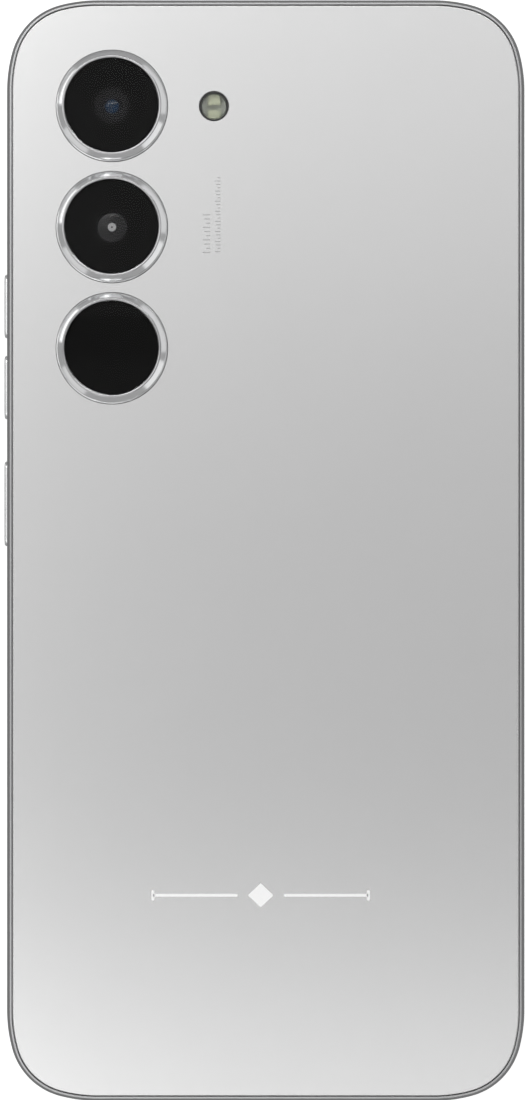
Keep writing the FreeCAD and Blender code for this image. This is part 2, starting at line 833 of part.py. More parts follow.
def make_camera_window(name, y, aperture):
    """The round glass and the black print behind it, with a clear middle where a lens looks out."""
    glass = new_body(f"camera_window_{name}", "camera_x", y)
    disc = new_sketch(glass, "disc", "window_seat + mask_thickness")
    circle(disc, "0", "0", "window_radius")
    plate = pad(glass, disc, "window_thickness")
    round_edges(glass, plate, [(0, 0, 1)], "mask_thickness")
    mask = new_body(f"window_mask_{name}", "camera_x", y)
    print_area = new_sketch(mask, "print", "window_seat")
    circle(print_area, "0", "0", "window_radius")
    if aperture:
        circle(print_area, "0", "0", aperture)
    pad(mask, print_area, "mask_thickness")


def make_main_camera():
    """The sensor board, the focus motor's can and the lens barrel that slides in it."""
    half = "main_camera_width / 2"
    sensor = new_body("main_camera_sensor", "camera_x", "camera_upper_y")
    board = new_sketch(sensor, "board", "mid_plate_back + play")
    board_half = f"({half} + sensor_board_margin)"
    rectangle(board, f"-{board_half}", board_half, f"-{board_half}", board_half)
    pad(sensor, board, "main_camera_base - mid_plate_back - play")
    chip = new_sketch(sensor, "chip", "main_camera_base")
    rectangle(chip, "-sensor_chip_width / 2", "sensor_chip_width / 2", "-sensor_chip_length / 2",
              "sensor_chip_length / 2")
    pad(sensor, chip, "sensor_chip_height")

    housing = new_body("main_camera_housing", "camera_x", "camera_upper_y")
    can = new_sketch(housing, "can", "main_camera_base")
    rectangle(can, f"-{half}", half, f"-{half}", half)
    circle(can, "0", "0", "lens_bore_radius")
    pad(housing, can, "main_camera_top - main_camera_base")

    lens = new_body("main_camera_lens", "camera_x", "camera_upper_y")
    section = new_sketch(lens, "section", plane="XZ_Plane")
    polygon(section, [
        ("0", "lens_front"),
        ("lens_radius", "lens_front"),
        ("lens_radius", "lens_top"),
        ("lens_cone_radius", "lens_top"),
        ("lens_glass_radius", "lens_top - lens_cone_depth"),
        ("lens_pupil_radius", "lens_top - lens_cone_depth"),
        ("lens_pupil_radius", "lens_top - lens_pupil_depth"),
        ("0", "lens_top - lens_pupil_depth"),
    ])
    revolve(lens, section)


def make_small_cameras():
    """The fixed-focus camera under the middle ring and the camera behind the display."""
    rear = new_body("auxiliary_camera", "camera_x", camera_y(1))
    base = new_sketch(rear, "base", "mid_plate_back + play")
    half = "auxiliary_width / 2"
    rectangle(base, f"-{half}", half, f"-{half}", half)
    pad(rear, base, "main_camera_top - mid_plate_back - play")
    nose = new_sketch(rear, "nose", "main_camera_top")
    circle(nose, "0", "0", "auxiliary_nose_radius")
    pad(rear, nose, "lens_top - main_camera_top")
    pupil = new_sketch(rear, "pupil", "lens_top")
    circle(pupil, "0", "0", "auxiliary_pupil_radius")
    pocket(rear, pupil, "auxiliary_pupil_depth")

    front = new_body("front_camera", "0", "front_camera_y")
    half = "front_camera_width / 2"
    front_base = new_sketch(front, "base", "mid_plate_back + play")
    rectangle(front_base, f"-{half}", half, f"-{half}", half)
    pad(front, front_base, "front_camera_depth")
    front_nose = new_sketch(front, "nose", "mid_plate_back + play")
    circle(front_nose, "0", "0", "front_camera_nose")
    pad(front, front_nose, "mid_plate_back - glass_thickness", downwards=True)


def make_flash():
    """A flanged lens in the cover's small hole, over a small board with two light chips."""
    lens = new_body("flash_lens", "flash_x", "flash_y")
    section = new_sketch(lens, "section", plane="XZ_Plane")
    cover_front = "phone_thickness - cover_thickness"
    top = "phone_thickness - flash_sunk"
    polygon(section, [
        ("0", f"{cover_front} - flash_flange_depth"),
        ("flash_flange_radius", f"{cover_front} - flash_flange_depth"),
        ("flash_flange_radius", f"{cover_front} - play"),
        ("flash_radius", f"{cover_front} - play"),
        ("flash_radius", f"{top} - flash_edge_height"),
        ("flash_radius - flash_edge_width", top),
        ("0", top),
    ])
    revolve(lens, section)
    half = "flash_board_width / 2"
    pieces = [block("flash_board", f"flash_x - {half}", f"flash_x + {half}", f"flash_y - {half}",
                    f"flash_y + {half}", "flash_board_front", "flash_board_back", is_subpart=False)]
    for number, side in enumerate((-1, 1), 1):
        middle = f"flash_y + {side} * flash_chip_offset"
        pieces.append(block(f"flash_chip_{number}", "flash_x - flash_chip_width / 2",
                            "flash_x + flash_chip_width / 2", f"{middle} - flash_chip_width / 2",
                            f"{middle} + flash_chip_width / 2", "flash_board_back",
                            "flash_chip_back", is_subpart=False))
    joined("Part::MultiFuse", "flash_led_board", pieces)


# ---------------------------------------------------------------- keys

def make_key(label, y, length):
    """A rounded key: its cap stands out of the frame, a flange keeps it in, a nub presses."""
    body = new_body(label, "-phone_width / 2", y, "key_height")
    cap = new_sketch(body, "cap", "-key_protrusion", "YZ_Plane")
    stadium(cap, "0", "0", length, "key_thickness")
    flange_start = "wall_thickness + key_flange_play"
    solid = pad(body, cap, f"key_protrusion + {flange_start}")
    round_edges(body, solid, [(-1, 0, 0)], "key_edge_radius")
    flange = new_sketch(body, "flange", flange_start, "YZ_Plane")
    reach = f"{length} / 2 + key_flange_margin"
    rectangle(flange, f"-({reach})", reach, "-key_flange_height / 2", "key_flange_height / 2")
    pad(body, flange, "key_flange_depth")
    nub = new_sketch(body, "nub", f"{flange_start} + key_flange_depth", "YZ_Plane")
    rectangle(nub, "-key_nub_length / 2", "key_nub_length / 2", "-key_nub_height / 2",
              "key_nub_height / 2")
    pad(body, nub, f"key_nub_reach - ({flange_start}) - key_flange_depth")
    return body


def make_keys():
    """Three keys, the finger sensor let into the power key, and the switches behind them."""
    make_key("volume_up_key", "volume_up_y", "volume_key_length")
    make_key("volume_down_key", "volume_down_y", "volume_key_length")
    power = make_key("power_key", "power_y", "power_key_length")
    recess = new_sketch(power, "recess", "-key_protrusion", "YZ_Plane")
    stadium(recess, "0", "0", "fingerprint_length + 2 * play", "fingerprint_height + 2 * play")
    pocket(power, recess, "fingerprint_depth", along_normal=True)
    sensor = new_body("fingerprint_sensor", "-phone_width / 2", "power_y", "key_height")
    face = new_sketch(sensor, "face", "fingerprint_depth - key_protrusion", "YZ_Plane")
    stadium(face, "0", "0", "fingerprint_length", "fingerprint_height")
    pad(sensor, face, "fingerprint_depth - fingerprint_sunk", downwards=True)

    block("side_key_flex", "key_flex_x", "key_flex_x + key_flex_thickness", "key_flex_low_y",
          "key_flex_high_y", "key_flex_front", "key_flex_back")
    domes = []
    for number, y in enumerate(("volume_up_y", "volume_down_y", "power_y"), 1):
        dome = doc.addObject("Part::Cone", f"snap_dome_{number}")
        dome.Placement.Rotation = FreeCAD.Rotation(FreeCAD.Vector(0, 1, 0), -90)
        bind(dome, Radius1="dome_radius", Radius2="dome_radius / 2", Height="dome_height",
             Placement__Base__x="key_flex_x", Placement__Base__y=y, Placement__Base__z="key_height")
        domes.append(dome)
    joined("Part::Compound", "snap_domes", domes)


# ---------------------------------------------------------------- SIM drawer

def make_sim_tray():
    """A long plate with two card openings behind a head that closes the frame's hole."""
    body = new_body("sim_tray")
    left = "tray_end"
    neck_end = "phone_width / 2 - tray_head_depth"
    neck_start = f"{neck_end} - tray_neck_length"
    plate = new_sketch(body, "plate", "tray_front")
    rectangle(plate, left, neck_start, "tray_y - tray_width / 2", "tray_y + tray_width / 2")
    pad(body, plate, "tray_thickness")
    head = new_sketch(body, "head", "phone_width / 2", "YZ_Plane")
    stadium(head, "tray_head_y", "tray_height", "tray_head_length", "tray_head_height")
    pad(body, head, "tray_head_depth", downwards=True)
    neck = new_sketch(body, "neck", neck_end, "YZ_Plane")
    rectangle(neck, "tray_head_y - tray_neck_below", "tray_head_y + tray_neck_above",
              "tray_height - tray_neck_height / 2", "tray_height + tray_neck_height / 2")
    pad(body, neck, "tray_neck_length", downwards=True)
    cards = new_sketch(body, "cards")
    memory_end = f"{neck_start} - card_wall_outer"
    rectangle(cards, f"{memory_end} - memory_card_length", memory_end,
              "tray_y - memory_card_width / 2", "tray_y + memory_card_width / 2")
    sim_start = f"{left} + card_wall_inner"
    rectangle(cards, sim_start, f"{sim_start} + sim_card_length",
              "tray_y - sim_card_width / 2", "tray_y + sim_card_width / 2")
    cut_through(body, cards)
    eject = new_sketch(body, "eject_hole", "phone_width / 2", "YZ_Plane")
    circle(eject, "eject_hole_y", "tray_height", "eject_hole_radius")
    pocket(body, eject, "eject_hole_depth")

    seal = new_body("sim_tray_seal")
    band = new_sketch(seal, "band", f"{neck_end} - seal_gap", "YZ_Plane")
    stadium(band, "tray_head_y", "tray_height", "tray_head_length - 2 * play",
            "tray_head_height - 2 * play")
    half = "(tray_neck_height / 2 + film_play)"
    rectangle(band, "tray_head_y - tray_neck_below - film_play",
              "tray_head_y + tray_neck_above + film_play", f"tray_height - {half}",
              f"tray_height + {half}")
    pad(seal, band, "seal_length", downwards=True)


def make_sim_reader():
    """A folded metal lid over the tray, open towards the frame, and the eject rod with its lever."""
    body = new_body("sim_reader_shell")
    lid = new_sketch(body, "lid", "board_back")
    rectangle(lid, "reader_left", "reader_right", "reader_low_y", "reader_high_y")
    pad(body, lid, "reader_back - board_back")
    inside = new_sketch(body, "inside", "board_back")
    rectangle(inside, "reader_left + reader_wall", "phone_width / 2", "reader_low_y + reader_wall",
              "reader_high_y - reader_wall")
    pocket(body, inside, "reader_back - board_back - reader_wall", along_normal=True)

    arm_right = "tray_end - eject_arm_gap"
    arm_left = f"{arm_right} - eject_arm_width"
    rod_low, rod_high = "eject_hole_y - eject_rod_width / 2", "eject_hole_y + eject_rod_width / 2"
    rod = block("eject_rod", arm_left, "reader_right", rod_low, rod_high, "eject_rod_front",
                "eject_rod_back", is_subpart=False)
    arm = block("eject_arm", arm_left, arm_right, "tray_y - eject_arm_reach", rod_high,
                "eject_rod_front", "eject_rod_back", is_subpart=False)
    joined("Part::MultiFuse", "sim_eject_lever", [rod, arm])


# ---------------------------------------------------------------- boards and brackets

def make_main_board():
    """The board at the top, cut back for the rear cameras, the keys and the earpiece."""
    body, _ = outline_plate("main_board", "board_inset", "board_front", "board_back")
    keep_inside(body, "-phone_width", "phone_width", "main_board_end", "phone_length")
    cut_rectangle(body, "camera_bay", "-phone_width", "camera_bay_right", "camera_bay_end",
                  "phone_length")
    cut_rectangle(body, "key_bay", "-phone_width", "key_bay_left", "0",
                  "camera_bay_end + cut_overlap")
    cut_rectangle(body, "top_bay", "camera_bay_right - cut_overlap", "top_bay_right", "top_bay_end",
                  "phone_length")
    cut_circles(body, "bores", screw_places("upper_screw", UPPER_SCREWS), "screw_bore_radius")


def make_sub_board():
    """The small board at the bottom, notched for the USB socket."""
    body, _ = outline_plate("sub_board", "board_inset", "board_front", "board_back")
    keep_inside(body, "sub_board_left", "sub_board_right", "-phone_length", "sub_board_top")
    half = "(usb_outer_width / 2 + usb_notch_gap)"
    cut_rectangle(body, "usb_notch", f"-{half}", half, "-phone_length", "usb_back + usb_notch_gap")
    cut_circles(body, "bores", screw_places("lower_screw", LOWER_SCREWS), "screw_bore_radius")


def make_board_parts():
    """Chips under two pressed shields, and the connectors that the flexible cables clip onto."""
    chips = []
    for number, (_, _, width, length, height) in enumerate(CHIPS, 1):
        chips.append(block(f"chip_{number}_body", f"chip_{number}_x - {width} / 2",
                           f"chip_{number}_x + {width} / 2", f"chip_{number}_y - {length} / 2",
                           f"chip_{number}_y + {length} / 2", "board_back",
                           f"board_back + {height}", is_subpart=False))
    joined("Part::Compound", "board_chips", chips)
    make_shield("processor_shield")
    make_shield("radio_shield")
    connectors = []
    for number in range(1, len(CONNECTORS) + 1):
        x, y = f"connector_{number}_x", f"connector_{number}_y"
        connectors.append(block(f"connector_{number}", f"{x} - connector_width / 2",
                                f"{x} + connector_width / 2", f"{y} - connector_length / 2",
                                f"{y} + connector_length / 2", "board_back", "flex_height",
                                is_subpart=False))
    joined("Part::Compound", "board_connectors", connectors)


def make_shield(label):
    """A thin pressed lid, open towards the board. Its label begins the names of its four sides."""
    body = new_body(label)
    left, right, low, high = [f"{label}_{side}" for side in ("left", "right", "low_y", "high_y")]
    lid = new_sketch(body, "lid", "board_back")
    rectangle(lid, left, right, low, high)
    solid = pad(body, lid, "shield_height")
    round_edges(body, solid, [(0, 0, 1)], "shield_edge_radius")
    inside = new_sketch(body, "inside", "board_back")
    rectangle(inside, f"{left} + shield_wall", f"{right} - shield_wall", f"{low} + shield_wall",
              f"{high} - shield_wall")
    pocket(body, inside, "shield_height - shield_wall", along_normal=True)


def add_screw_posts(body, places, front):
    """Posts below a bracket, a bore through each and a seat for the screw's head."""
    posts = new_sketch(body, "posts", "bracket_front")
    for x, y in places:
        circle(posts, x, y, "screw_post_radius")
    pad(body, posts, f"bracket_front - ({front})", downwards=True)
    add_screw_bores(body, places)


def add_screw_bores(body, places):
    """Screw bores right through, each with a seat for the head."""
    cut_circles(body, "bores", places, "screw_bore_radius")
    seats = new_sketch(body, "head_seats", "bracket_back")
    for x, y in places:
        circle(seats, x, y, "screw_head_radius + screw_head_gap")
    pocket(body, seats, "screw_head_height + play")


def make_brackets():
    """Plastic brackets that hold the boards down, and every bracket screw."""
    upper, _ = outline_plate("upper_bracket", "bracket_inset", "bracket_front", "bracket_back")
    keep_inside(upper, "-phone_width", "phone_width", "main_board_end - bracket_overhang",
                "phone_length")
    rings = [("camera_x", camera_y(number)) for number in range(3)]
    cut_circles(upper, "ring_holes", rings, "ring_foot_radius - bracket_ring_overlap")
    cut_circles(upper, "flash_hole", [("flash_x", "flash_y")],
                "flash_flange_radius + bracket_flash_gap")
    add_screw_posts(upper, screw_places("upper_screw", UPPER_SCREWS), "board_back")
    lower, _ = outline_plate("lower_bracket", "bracket_inset", "bracket_front", "bracket_back")
    keep_inside(lower, "sub_board_left - bracket_board_gap", "sub_board_right", "-phone_length",
                "sub_board_top - bracket_board_gap")
    add_screw_posts(lower, screw_places("lower_screw", LOWER_SCREWS), "board_back")

    screws = new_body("bracket_screws")
    shanks = new_sketch(screws, "shanks", "screw_tip")
    heads = new_sketch(screws, "heads", "bracket_back - screw_head_height")
    slots = new_sketch(screws, "slots", "bracket_back")
    for x, y in all_screw_places():
        circle(shanks, x, y, "screw_radius")
        circle(heads, x, y, "screw_head_radius")
        rectangle(slots, f"{x} - screw_slot_length / 2", f"{x} + screw_slot_length / 2",
                  f"{y} - screw_slot_width / 2", f"{y} + screw_slot_width / 2")
    pad(screws, shanks, "bracket_back - screw_head_height - screw_tip")
    pad(screws, heads, "screw_head_height")
    pocket(screws, slots, "screw_slot_depth")


# ---------------------------------------------------------------- sound

def make_loudspeaker():
    """A box with a sound chamber, the magnet, a moving diaphragm with its coil, and the mesh."""
    box, _ = outline_plate("loudspeaker_box", "bracket_inset", "speaker_front", "bracket_back")
    keep_inside(box, "speaker_left", "speaker_right", "-phone_length", "speaker_top")
    chamber = new_sketch(box, "chamber", "speaker_front")
    rectangle(chamber, "chamber_left", "chamber_right", "chamber_low_y", "chamber_high_y")
    pocket(box, chamber, "chamber_back - speaker_front", along_normal=True)
    port = new_sketch(box, "port", "phone_length / 2", "XZ_Plane")
    rectangle(port, "chamber_left + speaker_port_margin", "chamber_right - speaker_port_wall",
              "speaker_port_front", "speaker_port_back")
    pocket(box, port, "phone_length / 2 + chamber_low_y + cut_overlap")
    relief = new_sketch(box, "boss_relief", "speaker_front")
    for x, y in screw_places("speaker_screw", SPEAKER_SCREWS):
        circle(relief, x, y, "boss_radius + speaker_boss_gap")
    pocket(box, relief, "boss_back - speaker_front", along_normal=True)
    add_screw_bores(box, screw_places("speaker_screw", SPEAKER_SCREWS))

    middle_x = "(chamber_left + chamber_right) / 2"
    middle_y = "(chamber_low_y + chamber_high_y) / 2"
    driver = new_body("speaker_driver", middle_x, middle_y)
    chassis = new_sketch(driver, "chassis", "speaker_front + play")
    rectangle(chassis, "-driver_width / 2", "driver_width / 2", "-driver_length / 2",
              "driver_length / 2")
    pad(driver, chassis, "diaphragm_front - driver_gap - speaker_front - play")
    groove = new_sketch(driver, "coil_groove", "diaphragm_front - driver_gap")
    circle(groove, "0", "0", "coil_radius + coil_gap")
    circle(groove, "0", "0", "coil_radius - coil_thickness - coil_gap")
    pocket(driver, groove, "coil_groove_depth")

    diaphragm = new_body("speaker_diaphragm", middle_x, middle_y)
    sheet_outline = new_sketch(diaphragm, "sheet", "diaphragm_front")
    rectangle(sheet_outline, "-diaphragm_width / 2", "diaphragm_width / 2", "-diaphragm_length / 2",
              "diaphragm_length / 2")
    pad(diaphragm, sheet_outline, "diaphragm_thickness")
    coil = new_sketch(diaphragm, "coil", "diaphragm_front")
    circle(coil, "0", "0", "coil_radius")
    circle(coil, "0", "0", "coil_radius - coil_thickness")
    pad(diaphragm, coil, "coil_depth", downwards=True)

    last_hole = "speaker_hole_first + (speaker_hole_count - 1) * speaker_hole_pitch"
    mesh_low = "wall_thickness - phone_length / 2 + play"
    block("speaker_mesh", "speaker_hole_first - speaker_mesh_margin",
          f"{last_hole} + speaker_mesh_margin", mesh_low, f"{mesh_low} + speaker_mesh_thickness",
          "port_height - speaker_mesh_height / 2", "port_height + speaker_mesh_height / 2")


def make_small_audio():
    """The earpiece, the microphone and the headphone jack with its clear bore."""
    block("earpiece_speaker", "earpiece_speaker_left", "earpiece_speaker_right",
          "earpiece_speaker_low_y", "earpiece_speaker_high_y", "mid_plate_back + play",
          "earpiece_speaker_back")
    block("microphone", "microphone_x - microphone_width / 2", "microphone_x + microphone_width / 2",
          "microphone_y - microphone_length / 2", "microphone_y + microphone_length / 2",
          "board_back", "board_back + microphone_height")
    jack = new_body("headphone_jack", "jack_x", "0", "port_height")
    housing = new_sketch(jack, "housing", "-jack_housing_mouth", "XZ_Plane")
    rectangle(housing, "-jack_housing_width / 2", "jack_housing_width / 2",
              "-jack_housing_height / 2", "jack_housing_height / 2")
    pad(jack, housing, "jack_housing_end - jack_housing_mouth", downwards=True)
    nose = new_sketch(jack, "nose", "-jack_housing_mouth", "XZ_Plane")
    circle(nose, "0", "0", "jack_nose_radius")
    pad(jack, nose, "jack_housing_mouth - jack_mouth")
    bore = new_sketch(jack, "bore", "-jack_mouth", "XZ_Plane")
    circle(bore, "0", "0", "jack_bore_radius")
    pocket(jack, bore, "jack_depth")


# ---------------------------------------------------------------- USB socket

def make_usb_socket():
    """The socket's drawn metal shell and the plastic tongue that carries its contacts."""
    shell = new_body("usb_shell", z="port_height")
    outer = new_sketch(shell, "outer", "-usb_mouth", "XZ_Plane")
    stadium(outer, "0", "0", "usb_outer_width", "usb_outer_height")
    pad(shell, outer, "usb_back - usb_mouth", downwards=True)
    inner = new_sketch(shell, "inner", "-usb_mouth", "XZ_Plane")
    stadium(inner, "0", "0", "usb_outer_width - 2 * usb_wall", "usb_outer_height - 2 * usb_wall")
    pocket(shell, inner, "usb_back - usb_mouth - usb_back_wall")
    block("usb_tongue", "-usb_tongue_width / 2", "usb_tongue_width / 2", "usb_tongue_tip",
          "usb_back - usb_back_wall", "port_height - usb_tongue_thickness / 2",
          "port_height + usb_tongue_thickness / 2")


# ---------------------------------------------------------------- battery and cables

def make_battery():
    """The wrapped cell with soft edges, and its protection board with the lead to the connector."""
    cell = new_body("battery_cell")
    footprint = new_sketch(cell, "footprint", "battery_front")
    rectangle(footprint, "battery_left", "battery_right", "battery_low_y", "battery_high_y")
    solid = pad(cell, footprint, "battery_back - battery_front")
    round_edges(cell, solid, [(0, 0, 1), (0, 0, -1)], "battery_edge_radius")
    board = block("protection_board", "protection_left", "protection_right",
                  "battery_high_y + protection_gap", "protection_high_y", "protection_front",
                  "protection_back", is_subpart=False)
    left, right = "connector_1_x - lead_width / 2", "connector_1_x + lead_width / 2"
    top = "flex_height + flex_thickness"
    lead = block("battery_lead", left, right, "lead_start_y", "lead_end_y", "flex_height", top,
                 is_subpart=False)
    foot = block("battery_lead_foot", left, right, "lead_start_y", "lead_start_y + lead_foot_size",
                 "flex_height - lead_foot_size", top, is_subpart=False)
    joined("Part::MultiFuse", "battery_protection_board", [board, foot, lead])


def make_flex(label, low_height, ends):
    """A flat cable: a low run with a riser and an upper run over a connector at each end.

    Each end is the y of its riser and the y where its upper run stops. An end whose two y are the same
    has neither, and lies flat.
    """
    left, right = f"{label}_left", f"{label}_right"
    top = "flex_height + flex_thickness"
    low_top = f"{low_height} + flex_thickness"
    first, last = ends[0][0], ends[-1][0]
    runs = [(first, f"{last} + flex_thickness", low_height, low_top)]
    for riser, stop in ends:
        if riser == stop:
            continue
        runs.append((riser, f"{riser} + flex_thickness", low_height, top))
        low, high = sorted((riser, stop), key=value)
        runs.append((low, high if high == stop else f"{riser} + flex_thickness", "flex_height", top))
    blocks = []
    for number, (low, high, front, back) in enumerate(runs, 1):
        blocks.append(block(f"{label}_run_{number}", left, right, low, high, front, back,
                            is_subpart=False))
    joined("Part::MultiFuse", label, blocks)


def make_antenna_cable():
    """A thin coaxial lead: three straight runs joined by two tangent arcs."""
    height = value("cable_height")
    corners = [(value("cable_start_x"), value("cable_start_y")),
               (value("cable_start_x"), value("cable_cross_y")),
               (value("cable_side_x"), value("cable_cross_y")),
               (value("cable_side_x"), value("cable_end_y"))]
    points = [FreeCAD.Vector(x, y, height) for x, y in corners]
    bends = [value("cable_first_bend"), value("cable_second_bend")]
    edges = []
    reached = points[0]
    for before, corner, after, bend in zip(points, points[1:], points[2:], bends):
        arriving = (corner - before).normalize()
        leaving = (after - corner).normalize()
        start = corner - arriving * bend
        end = corner + leaving * bend
        middle = corner + (leaving - arriving) * bend * (1 - math.sqrt(0.5))
        edges.append(Part.LineSegment(reached, start).toShape())
        edges.append(Part.Arc(start, middle, end).toShape())
        reached = end
    edges.append(Part.LineSegment(reached, points[-1]).toShape())
    path = Part.Wire(edges)
    radius = value("cable_radius")
    section = Part.Wire([Part.makeCircle(radius, points[0], points[1] - points[0])])
    tube = path.makePipeShell([section], True, True)
    expected = math.pi * radius ** 2 * path.Length
    if abs(tube.Volume / expected - 1) > 0.01:
        raise RuntimeError("the antenna cable's volume is not its section times its length")
    cable = doc.addObject("Part::Feature", "antenna_cable")
    cable.Label = "antenna_cable"
    cable.Shape = tube
    cable.Placement = FreeCAD.Placement()
    subparts.append(cable)


# ---------------------------------------------------------------- vibration motor

def make_vibration_motor():
    """A flat can, open below, with a fixed shaft, and the half-round weight that turns on it."""
    case = new_body("vibration_motor_case", "motor_x", "motor_y")
    section = new_sketch(case, "section", plane="XZ_Plane")
    polygon(section, [
        ("0", "motor_front"),
        ("motor_shaft_radius", "motor_front"),
        ("motor_shaft_radius", "motor_back - motor_wall"),
        ("motor_radius - motor_wall", "motor_back - motor_wall"),
        ("motor_radius - motor_wall", "motor_front"),
        ("motor_radius", "motor_front"),
        ("motor_radius", "motor_back"),
        ("0", "motor_back"),
    ])
    revolve(case, section)
    rotor = new_body("vibration_rotor", "motor_x", "motor_y")
    disc = new_sketch(rotor, "disc", "motor_front + rotor_gap_front")
    circle(disc, "0", "0", "rotor_radius")
    circle(disc, "0", "0", "rotor_bore_radius")
    pad(rotor, disc, "motor_back - motor_wall - motor_front - rotor_gap_front - rotor_gap_back")
    missing_half = new_sketch(rotor, "missing_half", "motor_front")
    rectangle(missing_half, "-motor_radius", "motor_radius", "rotor_hub_radius", "motor_radius")
    cut_through(rotor, missing_half)


# ---------------------------------------------------------------- assembly

def build_everything():
    """Make every sub-part, from the outside in."""
    make_side_frame()
    make_mid_plate()
    make_rear_cover()
    make_adhesive("cover_adhesive", "back_ledge", "phone_thickness - cover_thickness")
    make_display()
    for number, (name, aperture) in enumerate(zip(CAMERA_NAMES,
                                                  ("main_aperture", "auxiliary_aperture", None))):
        make_camera_ring(name, camera_y(number))
        make_camera_window(name, camera_y(number), aperture)
    make_main_camera()
    make_small_cameras()
    make_flash()
    make_keys()
    make_sim_tray()
    make_sim_reader()
    make_main_board()
    make_sub_board()
    make_board_parts()
    make_brackets()
    make_loudspeaker()
    make_small_audio()
    make_usb_socket()
    make_battery()
    make_flex("main_flex", "mid_plate_back + film_play",
              [("main_flex_low_rise_y", "main_flex_low_end_y"),
               ("main_flex_high_rise_y", "main_flex_high_end_y")])
    make_flex("display_flex", "backlight_back + display_flex_gap",
              [("display_flex_fold_y", "display_flex_fold_y"),
               ("display_flex_rise_y", "display_flex_end_y")])
    make_antenna_cable()
    make_vibration_motor()
    doc.recompute()


def check_and_export():
    """Stop at any object that did not compute, then write one file per sub-part."""
    for item in doc.Objects:
        if "Invalid" in item.State or "Error" in item.State:
            raise RuntimeError(f"{item.Label} did not compute: {item.State}")
    os.makedirs("parts", exist_ok=True)
    for piece in subparts:
        if piece.Shape.isNull() or not piece.Shape.isValid():
            raise RuntimeError(f"{piece.Label} has no valid shape")
        piece.Shape.exportStep(f"parts/{piece.Label}.step")
    print(f"{len(subparts)} sub-parts written")


fill_sheet()
build_everything()
check_and_export()
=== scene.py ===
"""The smartphone's finished surfaces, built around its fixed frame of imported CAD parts.

Everything is in metres: +Z points out of the rear cover, +Y to the top edge and +X to the right as
seen from the back. The origin is the middle of the display glass's outer face, on the table.
"""

import math

import bmesh
import bpy
import numpy as np
from bpy.props import FloatProperty, FloatVectorProperty, IntProperty, PointerProperty
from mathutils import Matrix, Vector


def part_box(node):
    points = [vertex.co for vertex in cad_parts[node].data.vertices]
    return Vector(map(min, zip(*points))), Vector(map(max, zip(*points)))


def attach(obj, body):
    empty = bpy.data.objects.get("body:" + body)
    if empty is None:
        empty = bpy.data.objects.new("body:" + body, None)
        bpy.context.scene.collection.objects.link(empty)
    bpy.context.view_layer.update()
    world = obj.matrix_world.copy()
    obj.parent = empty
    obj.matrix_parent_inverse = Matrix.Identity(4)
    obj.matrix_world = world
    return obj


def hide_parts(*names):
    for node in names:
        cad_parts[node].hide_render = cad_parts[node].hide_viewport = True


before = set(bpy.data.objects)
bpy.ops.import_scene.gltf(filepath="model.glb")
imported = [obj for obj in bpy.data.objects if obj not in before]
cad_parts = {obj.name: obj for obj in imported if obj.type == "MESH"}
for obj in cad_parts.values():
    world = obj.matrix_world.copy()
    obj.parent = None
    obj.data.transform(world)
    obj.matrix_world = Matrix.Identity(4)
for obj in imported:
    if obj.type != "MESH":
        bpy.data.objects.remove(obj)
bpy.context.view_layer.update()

bl_info = {
    "name": "Smartphone Finishes",
    "version": (1, 0, 0),
    "blender": (4, 5, 0),
    "location": "3D View > Sidebar > Phone",
    "description": "Builds a smartphone's finished outer pieces and materials around its CAD frame",
    "category": "Object",
}

MM = 0.001
X, Y, Z = np.eye(3)
CAMERAS = ("upper", "middle", "lower")
FLASH_RADIUS = 2.15 * MM


# ---------------------------------------------------------------- what a user may change

def length(name, description, default, least=0.0):
    """A length property in metres, given in millimetres."""
    return FloatProperty(name=name, description=description, default=default * MM, unit="LENGTH",
                         precision=5, min=least * MM)


def colour(name, description, default):
    """A linear colour property."""
    return FloatVectorProperty(name=name, description=description, default=default, subtype="COLOR",
                               min=0.0, max=1.0)


class BodySettings(bpy.types.PropertyGroup):
    """The side frame, the rear cover and the display glass."""
    tight_radius: length("Corner radius", "Radius of each corner's middle arc", 10.0)
    wide_radius: length("Ease radius", "Radius of the arcs that lead into a corner", 22.0)
    ease_angle: FloatProperty(name="Ease angle", description="Turn of each arc that leads into a corner",
                              default=math.radians(15), subtype="ANGLE", unit="ROTATION")
    edge_radius: length("Frame edge", "Rounding of the frame's outer edge beside the display", 0.5)
    bevel_width: length("Bevel width", "Width of the bevel beside the cover, seen from the back", 0.46)
    bevel_height: length("Bevel height", "Height of the bevel beside the cover", 0.62)
    lip_width: length("Lip width", "Width of the frame's flat rim beside each panel", 0.75)
    wall: length("Wall", "Thickness of the frame's wall", 1.6)
    ledge_drop: length("Back ledge", "From the frame's back rim down to the cover's ledge", 0.7)
    front_ledge_rise: length("Front ledge", "From the frame's front rim up to the display's ledge", 0.4)
    cover_rim: length("Cover rim", "Rounding of the cover's outer edge", 0.16)
    glass_rim: length("Glass rim", "Rounding of the display glass's outer edge", 0.22)
    crisp: length("Crisp edge", "Rounding of an edge that looks sharp", 0.04)
    mouth: length("Opening chamfer", "Chamfer round the openings in the frame", 0.12)
    metal: colour("Frame metal", "Colour of the side frame", (0.35, 0.352, 0.355))
    paint: colour("Cover paint", "Colour of the rear cover", (0.56, 0.56, 0.56))


